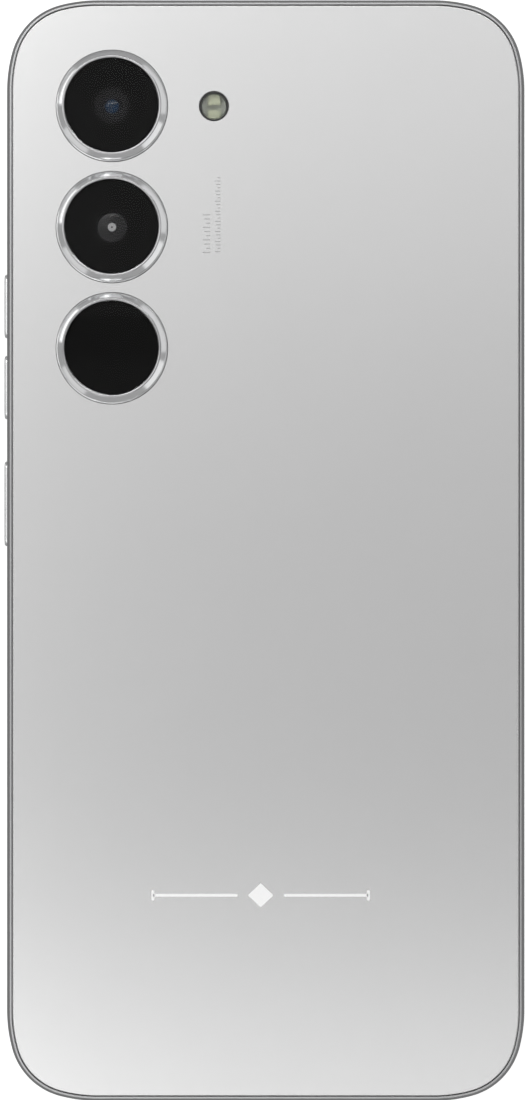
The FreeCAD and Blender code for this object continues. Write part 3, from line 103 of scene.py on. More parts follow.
class CameraSettings(bpy.types.PropertyGroup):
    """The camera rings, their glass and the lenses behind them."""
    foot_radius: length("Ring foot", "Radius of the ring where it comes through the cover", 8.25)
    foot_height: length("Foot height", "Height of the ring's foot over the cover", 0.12)
    shoulder_radius: length("Ring shoulder", "Radius where the sloping band starts", 8.05)
    shoulder_rise: length("Shoulder rise", "From the foot's top to the start of the sloping band", 0.63)
    foot_slope: length("Foot slope", "How much the foot's top rises and draws in", 0.04)
    lip_outer: length("Lip outside", "Outer radius of the ring's polished lip", 7.34)
    lip_inner: length("Lip inside", "Inner radius of the ring's polished lip", 7.0)
    bore_radius: length("Ring bore", "Radius of the hole in the ring's seat", 6.0)
    flange: length("Ring flange", "Thickness of the flange under the cover", 0.4)
    main_aperture: length("Main aperture", "Radius of the clear middle of the upper window", 2.65)
    small_aperture: length("Small aperture", "Radius of the clear middle of the middle window", 2.45)
    main_cone: length("Main lens cone", "Radius of the main lens's mouth", 2.5)
    main_glass: length("Main lens glass", "Radius of the main lens's front glass", 1.55)
    small_glass: length("Small lens glass", "Radius of the small lens's front glass", 2.2)
    metal: colour("Ring metal", "Colour of the camera rings", (0.74, 0.745, 0.75))


class FittingSettings(bpy.types.PropertyGroup):
    """Keys, drawer, sockets and meshes."""
    key_thickness: length("Key thickness", "Height of a key's cap", 2.0)
    key_flange: length("Key flange", "How far a key's flange reaches past its cap at each end", 0.9)
    key_depth: length("Key depth", "From a key's face to its flange", 2.25)
    flange_depth: length("Flange depth", "Thickness of a key's flange", 0.4)
    key_gap: length("Key gap", "Gap round a key's cap", 0.1)
    key_rim: length("Key rim", "Rounding of a key's outer edge", 0.3)
    key_crown: length("Key crown", "How far the middle of a key's face stands out", 0.05)
    drawer_gap: length("Drawer gap", "Gap round the drawer's head", 0.1)
    drawer_head: length("Drawer head", "Depth of the drawer's head", 1.15)
    pin_hole: length("Pin hole", "Radius of the drawer's eject hole", 0.45)
    usb_gap: length("USB gap", "Gap round the USB shell", 0.12)
    usb_wall: length("USB wall", "Thickness of the USB shell", 0.3)
    jack_bore: length("Headphone bore", "Radius of the headphone socket's bore", 1.8)
    jack_nose: length("Headphone nose", "Radius of the headphone socket's nose", 2.25)
    jack_depth: length("Headphone depth", "Depth of the headphone socket's bore", 13.9)
    speaker_hole: length("Speaker hole", "Radius of a loudspeaker hole", 0.7)
    speaker_margin: length("Speaker margin", "From the last hole's middle to the mesh's end", 1.2)
    speaker_holes: IntProperty(name="Speaker holes", description="Number of loudspeaker holes",
                               default=6, min=1)
    microphone_hole: length("Microphone hole", "Radius of the microphone hole", 0.5)
    metal: colour("Key metal", "Colour of the keys and the drawer", (0.72, 0.725, 0.73))


class StageSettings(bpy.types.PropertyGroup):
    """The table, the lamps and the camera."""
    distance: FloatProperty(name="Camera distance", description="From the rear cover to the camera",
                            default=0.5, unit="LENGTH")
    covered: length("Height in view", "Height of the view at the rear cover's face", 163.4)
    camera_x: length("Camera across", "How far the camera stands beside the phone's middle", -0.33, -50)
    camera_y: length("Camera along", "How far the camera stands beyond the phone's middle", 0.09, -50)
    table_size: FloatProperty(name="Table size", description="Side of the table", default=6.0,
                              unit="LENGTH")
    lamp_distance: FloatProperty(name="Lamp distance", description="From the phone to every lamp",
                                 default=1.3, unit="LENGTH")
    level: FloatProperty(name="Light level", description="Scales every lamp", default=1.0, min=0.0)
    surround: FloatProperty(name="Surround", description="Brightness of the room", default=0.42, min=0.0)


def settings():
    """The four groups of settings, kept on the scene."""
    scene = bpy.context.scene
    return scene.phone_body, scene.phone_cameras, scene.phone_fittings, scene.phone_stage


# ---------------------------------------------------------------- lines

def unit(vectors):
    """Each row divided by its length."""
    return vectors / np.linalg.norm(vectors, axis=-1, keepdims=True)


def rounded(corners, radii, steps=6, closed=True):
    """Points of a polygon whose corners are turned into arcs.

    With a and b the unit directions from a corner to its neighbours and f the angle between them, the arc
    of radius r starts r / tan(f / 2) along a, ends as far along b, and has its centre r / sin(f / 2) along
    the bisector. The points between turn evenly from the first end to the last, as seen from the centre.
    An open line keeps its two end points.
    """
    corners = np.asarray(corners, float)
    middle = corners if closed else corners[1:-1]
    before = np.roll(corners, 1, axis=0) if closed else corners[:-2]
    after = np.roll(corners, -1, axis=0) if closed else corners[2:]
    radii = np.broadcast_to(np.asarray(radii, float), len(middle))[:, None]
    a, b = unit(before - middle), unit(after - middle)
    half = np.arccos(np.clip((a * b).sum(axis=1, keepdims=True), -1, 1)) / 2
    centre = middle + unit(a + b) * radii / np.sin(half)
    first = middle + a * radii / np.tan(half) - centre
    last = middle + b * radii / np.tan(half) - centre
    turn = (math.pi - 2 * half)[:, None]
    s = np.linspace(0, 1, steps)[None, :, None]
    spread = np.sin((1 - s) * turn) * first[:, None] + np.sin(s * turn) * last[:, None]
    points = (centre[:, None] + spread / np.sin(turn)).reshape(-1, 2)
    return points if closed else np.vstack([corners[:1], points, corners[-1:]])


def phone_outline(steps=10):
    """The phone's edge, anticlockwise from the right side: points and their outward normals.

    Every corner is three tangent arcs: at angle t the point is the arc's centre plus its radius along
    (cos t, sin t). The tight arc's centre lies on the corner's diagonal, and each wide arc's centre lies
    the difference of the radii behind it, along the direction where the two arcs meet.
    """
    body = settings()[0]
    wide, tight, ease = body.wide_radius, body.tight_radius, body.ease_angle
    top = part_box("side_frame")[1]
    quarter = math.pi / 2
    low = np.linspace(0, ease, steps, endpoint=False)
    mid = np.linspace(ease, quarter - ease, 2 * steps, endpoint=False)
    high = np.linspace(quarter - ease, quarter, steps + 1)
    turned = np.concatenate([low, mid, high])
    meeting = np.concatenate([np.full(len(low), ease), mid, np.full(len(high), quarter - ease)])
    slack = np.concatenate([np.full(len(low), wide - tight), np.zeros(len(mid)),
                            np.full(len(high), wide - tight)])
    start = np.repeat(np.arange(4) * quarter, len(turned))
    turned, meeting, slack = (np.tile(values, 4) for values in (turned, meeting, slack))
    inner = np.array([top.x, top.y]) - (wide - (wide - tight) * math.cos(ease))
    sides = np.sign(np.stack([np.cos(start + quarter / 2), np.sin(start + quarter / 2)], axis=1))
    normals = np.stack([np.cos(start + turned), np.sin(start + turned)], axis=1)
    behind = np.stack([np.cos(start + meeting), np.sin(start + meeting)], axis=1)
    points = sides * inner - behind * slack[:, None] + normals * (slack + tight)[:, None]
    return points, normals


def stadium(long_side, short_side, steps=12):
    """A slot with half-round ends about the origin, anticlockwise: points and outward normals.

    At angle t the point is half the short side along (cos t, sin t), moved along the long side's
    direction by half the difference of the sides, to the side on which cos t is positive or negative.
    """
    radius = short_side / 2
    quarter = math.pi / 2
    right = np.linspace(-quarter, quarter, steps)
    angles = np.concatenate([right, right + math.pi])
    normals = np.stack([np.cos(angles), np.sin(angles)], axis=1)
    reach = np.repeat([1.0, -1.0], steps) * (long_side / 2 - radius)
    return normals * radius + np.stack([reach, np.zeros(2 * steps)], axis=1), normals


def circle(radius, steps=96):
    """A circle about the origin, anticlockwise: points and outward normals."""
    angles = np.arange(steps) * 2 * math.pi / steps
    normals = np.stack([np.cos(angles), np.sin(angles)], axis=1)
    return normals * radius, normals


# ---------------------------------------------------------------- surfaces

def skin(grid, closed=False):
    """Vertices and faces over a grid of points whose rows go all the way round.

    Row i and column j give the face (i, j), (i + 1, j), (i + 1, j + 1), (i, j + 1). The columns go round
    too where the grid is closed, and otherwise one face caps each end.
    """
    rows, columns = grid.shape[:2]
    i, j = np.meshgrid(np.arange(rows), np.arange(columns if closed else columns - 1), indexing="ij")
    ahead, up = (i + 1) % rows, (j + 1) % columns
    quads = np.stack([i * columns + j, ahead * columns + j, ahead * columns + up, i * columns + up], axis=-1)
    faces = quads.reshape(-1, 4).tolist()
    if not closed:
        first = np.arange(rows) * columns
        faces += [first[::-1].tolist(), (first + columns - 1).tolist()]
    return grid.reshape(-1, 3), faces


def carried(path, profile, closed=False, origin=(0, 0, 0), axes=(X, Y, Z)):
    """A profile carried along a closed path: vertices and faces.

    The path's points and normals lie in the plane of the first two axes. Each profile point is a pair:
    how far it lies inside the path, and how high it lies along the third axis. So the surface is
    path point - inset * normal, plus height * third axis. A profile that is not closed is capped with
    one face at each end.
    """
    points, normals = path
    inset, height = np.asarray(profile, float).T
    flat = points[:, None] - normals[:, None] * inset[None, :, None]
    grid = (np.asarray(origin, float) + flat[..., :1] * axes[0] + flat[..., 1:] * axes[1]
            + height[None, :, None] * axes[2])
    return skin(grid, closed)


def turned(profile, centre, steps=128, closed=False, axes=(X, Y, Z)):
    """A profile of (radius, height) pairs turned about an axis through the centre.

    It is carried along a circle of no radius, so a radius is an inset of less than nothing.
    """
    radius, height = np.asarray(profile, float).T
    _, normals = circle(1, steps)
    path = np.zeros_like(normals), normals
    return carried(path, np.stack([-radius, height], axis=1), closed, centre, axes)


def rounded_block(low, high, radius, steps=4):
    """A box with rounded edges and corners.

    It is a small sphere's grid of normals, with each quarter of the sphere pushed out to its corner of
    the box: corner of the shrunk box + radius * normal.
    """
    low, high = np.asarray(low, float), np.asarray(high, float)
    quarter = math.pi / 2
    around = np.concatenate([np.linspace(q * quarter, (q + 1) * quarter, steps) for q in range(4)])
    side_x = np.repeat([1, -1, -1, 1], steps)
    side_y = np.repeat([1, 1, -1, -1], steps)
    rise = np.concatenate([np.linspace(-quarter, 0, steps), np.linspace(0, quarter, steps)])
    side_z = np.repeat([-1, 1], steps)
    t, s = np.meshgrid(around, rise, indexing="ij")
    normals = np.stack([np.cos(t) * np.cos(s), np.sin(t) * np.cos(s), np.sin(s)], axis=-1)
    sides = np.stack([np.broadcast_to(side_x[:, None], t.shape), np.broadcast_to(side_y[:, None], t.shape),
                      np.broadcast_to(side_z[None, :], t.shape)], axis=-1)
    grid = (low + high) / 2 + sides * ((high - low) / 2 - radius) + normals * radius
    return skin(grid)


def wire(path, radius, upright, sides=6):
    """A round wire along a line of points, closed at both ends.

    Across each point lie the axes s = the line's direction x upright and t = s x direction, and the
    surface is the point + radius * (cos u * s + sin u * t).
    """
    path = np.asarray(path, float)
    along = unit(np.gradient(path, axis=0))
    across = unit(np.cross(along, upright))
    other = np.cross(across, along)
    angles = np.arange(sides) * 2 * math.pi / sides
    grid = (path[None] + radius * (np.cos(angles)[:, None, None] * across
                                   + np.sin(angles)[:, None, None] * other))
    vertices, faces = skin(grid)
    return vertices, [face[:1] + face[:0:-1] for face in faces]


def together(*shapes):
    """Several shapes as one list of vertices and faces."""
    vertices, faces, count = [], [], 0
    for points, polygons in shapes:
        vertices.append(points)
        faces += [[corner + count for corner in polygon] for polygon in polygons]
        count += len(points)
    return np.vstack(vertices), faces


# ---------------------------------------------------------------- pieces

def new_mesh(name, shape):
    """An object at the origin that holds the shape, with near-coincident points merged."""
    vertices, faces = shape
    mesh = bpy.data.meshes.new(name)
    mesh.from_pydata(np.asarray(vertices).tolist(), [], faces)
    build = bmesh.new()
    build.from_mesh(mesh)
    bmesh.ops.remove_doubles(build, verts=build.verts, dist=1e-7)
    bmesh.ops.dissolve_degenerate(build, edges=build.edges, dist=1e-8)
    build.to_mesh(mesh)
    build.free()
    piece = bpy.data.objects.new(name, mesh)
    bpy.context.scene.collection.objects.link(piece)
    return piece


def carve(piece, shapes):
    """Cut the shapes out of the piece."""
    tools = []
    for number, shape in enumerate(shapes):
        tool = new_mesh(f"{piece.name}_tool_{number}", shape)
        change = piece.modifiers.new(tool.name, "BOOLEAN")
        change.operation = "DIFFERENCE"
        change.solver = "EXACT"
        change.object = tool
        tools.append(tool)
    evaluated = piece.evaluated_get(bpy.context.evaluated_depsgraph_get())
    before = piece.data
    piece.data = bpy.data.meshes.new_from_object(evaluated)
    piece.modifiers.clear()
    piece.data.name = piece.name
    bpy.data.meshes.remove(before)
    for tool in tools:
        bpy.data.meshes.remove(tool.data)
    return piece


def finished(piece, material, body="phone", stands_for=()):
    """Smooth the piece's shading, give it its material, and put it in place of its CAD nodes."""
    mesh = piece.data
    mesh.shade_smooth()
    mesh.set_sharp_from_angle(angle=math.radians(35))
    even = piece.modifiers.new("even shading", "WEIGHTED_NORMAL")
    even.keep_sharp = True
    even.weight = 80
    mesh.materials.clear()
    mesh.materials.append(material)
    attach(piece, body)
    if stands_for:
        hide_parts(*stands_for)
    return piece


def middle_of(node):
    """The middle of a CAD node's box."""
    low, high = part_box(node)
    return np.array((low + high) / 2)


# ---------------------------------------------------------------- materials

def tree_of(name):
    """A new material, its node tree and its Principled shader."""
    material = bpy.data.materials.new(name)
    material.use_nodes = True
    tree = material.node_tree
    return material, tree, tree.nodes["Principled BSDF"]


def node(tree, kind, links=(), **values):
    """Add a node. Links are (input, output socket) pairs, and values set its own properties."""
    made = tree.nodes.new(kind)
    for name, setting in values.items():
        setattr(made, name, setting)
    for name, source in links:
        if isinstance(source, (int, float, tuple)):
            made.inputs[name].default_value = source
        else:
            tree.links.new(source, made.inputs[name])
    return made


def noise(tree, size, detail=3.0, stretch=(1, 1, 1)):
    """A noise from 0 to 1 on Object coordinates, whose lumps are about the given size in metres."""
    place = node(tree, "ShaderNodeTexCoord")
    scale = node(tree, "ShaderNodeMapping", [("Vector", place.outputs["Object"]), ("Scale", stretch)])
    lumps = node(tree, "ShaderNodeTexNoise", [("Vector", scale.outputs["Vector"]), ("Scale", 1 / size),
                                              ("Detail", detail)])
    return lumps.outputs["Fac"]


def ranged(tree, source, low, high):
    """A value from 0 to 1 spread from low to high."""
    return node(tree, "ShaderNodeMapRange", [("Value", source), ("To Min", low),
                                             ("To Max", high)]).outputs["Result"]


def finish(name, tint, roughness, metallic=0.0, grain=0.5, mottle=0.04, polish=0.05, relief=0.0,
           stretch=(1, 1, 1), **sockets):
    """A material with a fine grain.

    One noise varies the colour by the mottle and the roughness by the polish, and lifts the surface by
    up to the relief, in millimetres. The grain is the noise's size in millimetres. Numbers that are the
    same all over are set on the shader's own sockets, named as keywords with _ for a space.
    """
    material, tree, shader = tree_of(name)
    lumps = noise(tree, grain * MM, stretch=stretch)
    light = ranged(tree, lumps, 1 - mottle, 1 + mottle)
    tinted = node(tree, "ShaderNodeVectorMath", [("Vector", tuple(tint)[:3]), ("Scale", light)],
                  operation="SCALE")
    tree.links.new(tinted.outputs["Vector"], shader.inputs["Base Color"])
    tree.links.new(ranged(tree, lumps, roughness - polish, roughness + polish), shader.inputs["Roughness"])
    shader.inputs["Metallic"].default_value = metallic
    if relief:
        bump = node(tree, "ShaderNodeBump", [("Height", lumps), ("Distance", relief * MM),
                                             ("Strength", 1.0)])
        tree.links.new(bump.outputs["Normal"], shader.inputs["Normal"])
    for socket, number in sockets.items():
        shader.inputs[socket.replace("_", " ")].default_value = number
    return material


def material(name, **finish_of):
    """The material of that name, made the first time it is asked for."""
    return bpy.data.materials.get(name) or finish(name, **finish_of)


def frame_metal():
    """Fine-blasted, anodised aluminium."""
    return material("blasted_aluminium", tint=settings()[0].metal, roughness=0.3, metallic=1.0,
                    grain=0.12, mottle=0.03, polish=0.05, relief=0.0012)


def cover_paint():
    """Satin metallic paint under a matt coat: a fine flake over a broad, faint mottle."""
    name = "satin_cover_paint"
    if name in bpy.data.materials:
        return bpy.data.materials[name]
    made, tree, shader = tree_of(name)
    flake = noise(tree, 0.09 * MM, detail=1.0)
    broad = noise(tree, 14 * MM, detail=2.0)
    light = node(tree, "ShaderNodeMath", [(0, ranged(tree, flake, 0.94, 1.06)),
                                          (1, ranged(tree, broad, 0.99, 1.01))], operation="MULTIPLY")
    tinted = node(tree, "ShaderNodeVectorMath", [("Vector", tuple(settings()[0].paint)),
                                                 ("Scale", light.outputs["Value"])], operation="SCALE")
    tree.links.new(tinted.outputs["Vector"], shader.inputs["Base Color"])
    tree.links.new(ranged(tree, flake, 0.22, 0.27), shader.inputs["Roughness"])
    bump = node(tree, "ShaderNodeBump", [("Height", flake), ("Distance", 0.0015 * MM), ("Strength", 1.0)])
    tree.links.new(bump.outputs["Normal"], shader.inputs["Normal"])
    shader.inputs["Metallic"].default_value = 0.9
    return made


def ring_metal():
    """Polished, lightly turned metal."""
    return material("polished_ring", tint=settings()[1].metal, roughness=0.14, metallic=1.0,
                    grain=0.3, mottle=0.02, polish=0.03)


def shaded_lip_metal():
    """The ring's mirror-polished lip, in the ring's metal tinted much darker: painted shade."""
    return material("polished_lip", tint=(0.42, 0.42, 0.425), roughness=0.07, metallic=1.0, grain=0.4,
                    mottle=0.03, polish=0.02)


def key_metal():
    """The keys' satin aluminium."""
    return material("key_aluminium", tint=settings()[2].metal, roughness=0.28, metallic=1.0,
                    grain=0.12, mottle=0.03, polish=0.05, relief=0.001)


def black_print():
    """Black ink behind the windows' glass."""
    return material("black_ink", tint=(0.004, 0.004, 0.004), roughness=0.45, grain=0.2, mottle=0.15,
                    Specular_IOR_Level=0.08)


def lens_black():
    """Dull black lining inside the lens barrels."""
    return material("barrel_lining", tint=(0.004, 0.004, 0.0045), roughness=0.5, grain=0.15, mottle=0.15,
                    Specular_IOR_Level=0.06)


def black_plastic():
    """Matt black moulded plastic."""
    return material("black_moulding", tint=(0.022, 0.022, 0.024), roughness=0.55, grain=0.25,
                    mottle=0.15, relief=0.004)


def window_glass():
    """Hard coated glass, which mirrors little seen straight on."""
    return material("coated_glass", tint=(1.0, 1.0, 1.0), roughness=0.012, grain=3.0, mottle=0.0,
                    polish=0.01, Transmission_Weight=1.0, IOR=1.15)


def gold():
    """Gold-plated contacts."""
    return material("gold_plate", tint=(0.83, 0.6, 0.27), roughness=0.24, metallic=1.0, grain=0.15)


def steel():
    """Drawn, nickel-plated steel."""
    return material("drawn_steel", tint=(0.6, 0.6, 0.6), roughness=0.26, metallic=1.0, grain=0.2,
                    mottle=0.05, stretch=(1, 0.1, 1), relief=0.001)


# ---------------------------------------------------------------- side frame

def side_opening(hole, axes, origin, depth, mouth):
    """A cutter for one opening in the frame's wall.

    Its wall goes straight out of the phone and flares by one to one over the chamfer and beyond.
    """
    profile = [(0, -depth), (0, -mouth), (-mouth - MM, MM)]
    return carried(hole, profile, origin=origin, axes=axes)


def frame_openings(body, fittings):
    """Cutters for the keys, the drawer, the sockets, the microphone and the loudspeaker."""
    low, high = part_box("side_frame")
    depth = 2 * body.wall
    left, right, bottom = (Y, -Z, -X), (Y, Z, X), (X, Z, -Y)
    cutters = []
    for key in ("volume_up_key", "volume_down_key", "power_key"):
        middle = middle_of(key)
        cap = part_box(key)[1].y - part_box(key)[0].y - 2 * fittings.key_flange
        hole = stadium(cap + 2 * fittings.key_gap, fittings.key_thickness + 2 * fittings.key_gap)
        cutters.append(side_opening(hole, left, (low.x, middle[1], middle[2]), depth, body.mouth))
    drawer_low, drawer_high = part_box("sim_tray")
    drawer = (drawer_low + drawer_high) / 2
    hole = stadium(drawer_high.y - drawer_low.y + 2 * fittings.drawer_gap,
                   drawer_high.z - drawer_low.z + 2 * fittings.drawer_gap)
    cutters.append(side_opening(hole, right, (high.x, drawer.y, drawer.z), depth, body.mouth / 2))
    usb_low, usb_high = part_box("usb_shell")
    port_z = (usb_low.z + usb_high.z) / 2
    hole = stadium(usb_high.x - usb_low.x + 2 * fittings.usb_gap,
                   usb_high.z - usb_low.z + 2 * fittings.usb_gap)
    cutters.append(side_opening(hole, bottom, (0, low.y, port_z), depth, body.mouth))
    round_holes = [(middle_of("headphone_jack")[0], fittings.jack_nose + fittings.key_gap),
                   (middle_of("microphone")[0], fittings.microphone_hole)]
    round_holes += [(x, fittings.speaker_hole) for x in speaker_hole_places(fittings)]
    for x, radius in round_holes:
        cutters.append(side_opening(circle(radius, 48), bottom, (x, low.y, port_z), depth, body.mouth))
    return cutters


def speaker_hole_places(fittings):
    """The loudspeaker holes' middles along the bottom edge, evenly spread over the mesh."""
    low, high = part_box("speaker_mesh")
    return np.linspace(low.x + fittings.speaker_margin, high.x - fittings.speaker_margin,
                       fittings.speaker_holes)


class PHONE_OT_side_frame(bpy.types.Operator):
    """The metal band round the phone, with its ledges and openings"""
    bl_idname = "phone.side_frame"
    bl_label = "Side frame"

    def execute(self, context):
        body, _, fittings, _ = settings()
        low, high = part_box("side_frame")
        back_ledge, front_ledge = high.z - body.ledge_drop, low.z + body.front_ledge_rise
        corners = [(0, low.z), (0, high.z - body.bevel_height), (body.bevel_width, high.z),
                   (body.lip_width, high.z), (body.lip_width, back_ledge),
                   (body.wall, back_ledge), (body.wall, front_ledge), (body.lip_width, front_ledge),
                   (body.lip_width, low.z)]
        radii = [body.edge_radius, body.edge_radius, 2 * body.crisp] + [body.crisp] * 6
        band = new_mesh("side_frame_band", carried(phone_outline(), rounded(corners, radii, 8), closed=True))
        carve(band, frame_openings(body, fittings))
        finished(band, frame_metal(), stands_for=["side_frame"])
        return {"FINISHED"}


# ---------------------------------------------------------------- rear cover

def ring_centre(name):
    """The middle of a camera ring, at the height of the table."""
    middle = middle_of(f"camera_ring_{name}")
    return np.array([middle[0], middle[1], 0])


def inset_path(inset):
    """The phone's outline moved inwards."""
    points, normals = phone_outline()
    return points - normals * inset, normals


class PHONE_OT_rear_cover(bpy.types.Operator):
    """The painted rear panel, with a soft rim and holes for the rings and the flash"""
    bl_idname = "phone.rear_cover"
    bl_label = "Rear cover"

    def execute(self, context):
        body, cameras, _, _ = settings()
        low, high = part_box("rear_cover")
        flat = 6 * MM
        corners = [(flat, low.z), (0, low.z), (0, high.z), (flat, high.z)]
        profile = rounded(corners, [body.crisp, body.cover_rim], 8, closed=False)
        panel = new_mesh("rear_cover_panel",
                         carried(inset_path(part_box("side_frame")[1].x - high.x), profile))
        clearance = 0.06 * MM
        flash_low, flash_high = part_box("flash_lens")
        holes = [(ring_centre(name), cameras.foot_radius + clearance) for name in CAMERAS]
        holes.append((np.array((flash_low + flash_high) / 2) * (1, 1, 0), FLASH_RADIUS + clearance))
        cutters = []
        for centre, radius in holes:
            flare = 0.05 * MM
            profile = [(radius, low.z - MM), (radius, high.z - flare), (radius + flare + MM, high.z + MM)]
            cutters.append(turned(profile, centre))
        carve(panel, cutters)
        finished(panel, cover_paint(), stands_for=["rear_cover"])
        return {"FINISHED"}


# ---------------------------------------------------------------- camera rings and windows

class PHONE_OT_camera_rings(bpy.types.Operator):
    """Three turned rings, each with a sloping band and a polished lip"""
    bl_idname = "phone.camera_rings"
    bl_label = "Camera rings"

    def execute(self, context):
        _, ring, _, _ = settings()
        cover_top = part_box("rear_cover")[1].z
        for name in CAMERAS:
            node_name = f"camera_ring_{name}"
            low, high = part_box(node_name)
            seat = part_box(f"window_mask_{name}")[0].z
            foot_top = cover_top + ring.foot_height
            edge = (high.x - low.x) / 2
            corners = [(ring.bore_radius, low.z), (edge, low.z), (edge, low.z + ring.flange),
                       (ring.foot_radius, low.z + ring.flange), (ring.foot_radius, foot_top),
                       (ring.shoulder_radius + ring.foot_slope, foot_top + ring.foot_slope),
                       (ring.shoulder_radius, foot_top + ring.shoulder_rise), (ring.lip_outer, high.z),
                       (ring.lip_inner, high.z), (ring.lip_inner, seat), (ring.bore_radius, seat)]
            # Rounding of the corners in the same order: soft along the lip, crisp elsewhere
            radii = np.array([0.05, 0.05, 0.05, 0.05, 0.05, 0.03, 0.06, 0.16, 0.15, 0.03, 0.05]) * MM
            lip_floor = high.z - 0.1 * MM
            shape = turned(rounded(corners, radii, 6), ring_centre(name), closed=True)
            metal_ring = finished(new_mesh(f"{node_name}_turned", shape), ring_metal(),
                                  stands_for=[node_name])
            metal_ring.data.materials.append(shaded_lip_metal())
            # The lip's faces take the darker lip metal, whose tint is painted shade.
            for face in metal_ring.data.polygons:
                face.material_index = int(face.center.z > lip_floor)
        return {"FINISHED"}


class PHONE_OT_camera_windows(bpy.types.Operator):
    """The rings' glass discs and the black print behind them"""
    bl_idname = "phone.camera_windows"
    bl_label = "Camera windows"

    def execute(self, context):
        _, cameras, _, _ = settings()
        apertures = {"upper": cameras.main_aperture, "middle": cameras.small_aperture, "lower": 0}
        for name in CAMERAS:
            low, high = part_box(f"camera_window_{name}")
            radius = (high.x - low.x) / 2
            clear = 0.3 * MM
            corners = [(clear, low.z), (radius, low.z), (radius, high.z), (clear, high.z)]
            profile = rounded(corners, np.array([0.04, 0.12]) * MM, 6, closed=False)
            glass = new_mesh(f"camera_glass_{name}", turned(profile, ring_centre(name)))
            finished(glass, window_glass(), stands_for=[f"camera_window_{name}"])
            glass.visible_shadow = False
            low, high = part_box(f"window_mask_{name}")
            inner = apertures[name] or clear
            corners = [(inner, low.z), (radius, low.z), (radius, high.z), (inner, high.z)]
            shape = turned(corners, ring_centre(name), closed=bool(apertures[name]))
            mask = new_mesh(f"camera_print_{name}", shape)
            finished(mask, black_print(), stands_for=[f"window_mask_{name}"])
        return {"FINISHED"}


# ---------------------------------------------------------------- cover prints

def plate(outline, low, high):
    """A thin flat print with the given outline, anticlockwise, from one height to another."""
    outline = np.asarray(outline, float)
    path = outline, np.zeros_like(outline)
    return carried(path, [(0, low), (0, high)])


def bar(centre, long_side, short_side, low, high):
    """A thin flat print in the shape of a slot with round ends."""
    wide = long_side > short_side
    points, _ = stadium(max(long_side, short_side), min(long_side, short_side), 5)
    points = points if wide else points[:, ::-1] * (-1, 1)
    return plate(points + np.asarray(centre), low, high)


class PHONE_OT_cover_prints(bpy.types.Operator):
    """A plain ornament and two columns of ticks printed on the rear cover"""
    bl_idname = "phone.cover_prints"
    bl_label = "Cover prints"

    def execute(self, context):
        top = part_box("rear_cover")[1].z
        low, high = top - 0.004 * MM, top + 0.012 * MM
        centre, half, stroke = np.array([-0.75, -51.2]) * MM, 16 * MM, 0.42 * MM
        lozenge = np.array([(1.9, 0), (0, 1.8), (-1.9, 0), (0, -1.8)]) * MM
        shapes = [plate(rounded(lozenge, 0.15 * MM) + centre, low, high)]
        inner = 3.4 * MM
        for side in (-1, 1):
            line = centre + (side * (half + inner) / 2, 0)
            shapes.append(bar(line, half - inner, stroke, low, high))
            shapes.append(bar(centre + (side * half, 0), stroke, 1.6 * MM, low, high))
        ornament = new_mesh("cover_ornament", together(*shapes))
        finished(ornament, material("bright_ink", tint=(0.86, 0.86, 0.86), roughness=0.34, metallic=0.35,
                                    grain=0.3))
        ticks = []
        # Columns of ticks, in millimetres: middle across, lower end, upper end, longest tick and pitch
        columns = [(-8.8, 44.3, 50.1, 1.15, 0.62), (-7.12, 44.4, 55.8, 0.85, 0.5)]
        tick_width = 0.13 * MM
        for x, bottom, top_end, wide, pitch in columns:
            for number, y in enumerate(np.arange(bottom, top_end, pitch)):
                reach = wide * (1.0, 0.55, 0.8)[number % 3]
                middle = np.array([x + (wide - reach) / 2, y]) * MM
                ticks.append(bar(middle, reach * MM, tick_width, low, high))
        marks = new_mesh("cover_ticks", together(*ticks))
        finished(marks, material("grey_ink", tint=(0.34, 0.34, 0.34), roughness=0.45, metallic=0.35,
                                 grain=0.3))
        return {"FINISHED"}


# ---------------------------------------------------------------- lenses and flash

def dome(centre, radius, rim, rise, drop, steps=10):
    """A lens cap turned about its axis.

    Its top is rim + rise * (1 - (r / radius)^2) at radius r, and it reaches down by the drop.
    """
    r = np.linspace(radius, 0.02 * MM, steps)
    top = np.stack([r, rim + rise * (1 - (r / radius) ** 2)], axis=1)
    profile = np.vstack([[(0.02 * MM, rim - drop), (radius, rim - drop)], top])
    return turned(profile, centre, 64)


def stepped_cone(outer, inner, high, low, steps):
    """Points of a cone cut into level steps with upright risers, from its mouth inwards."""
    radii = np.linspace(outer, inner, steps + 1)
    levels = np.linspace(high, low, steps + 1)
    points = [(outer, high)]
    for r, next_r, level in zip(radii, radii[1:], levels[1:]):
        points += [(r, level), (next_r, level)]
    return points


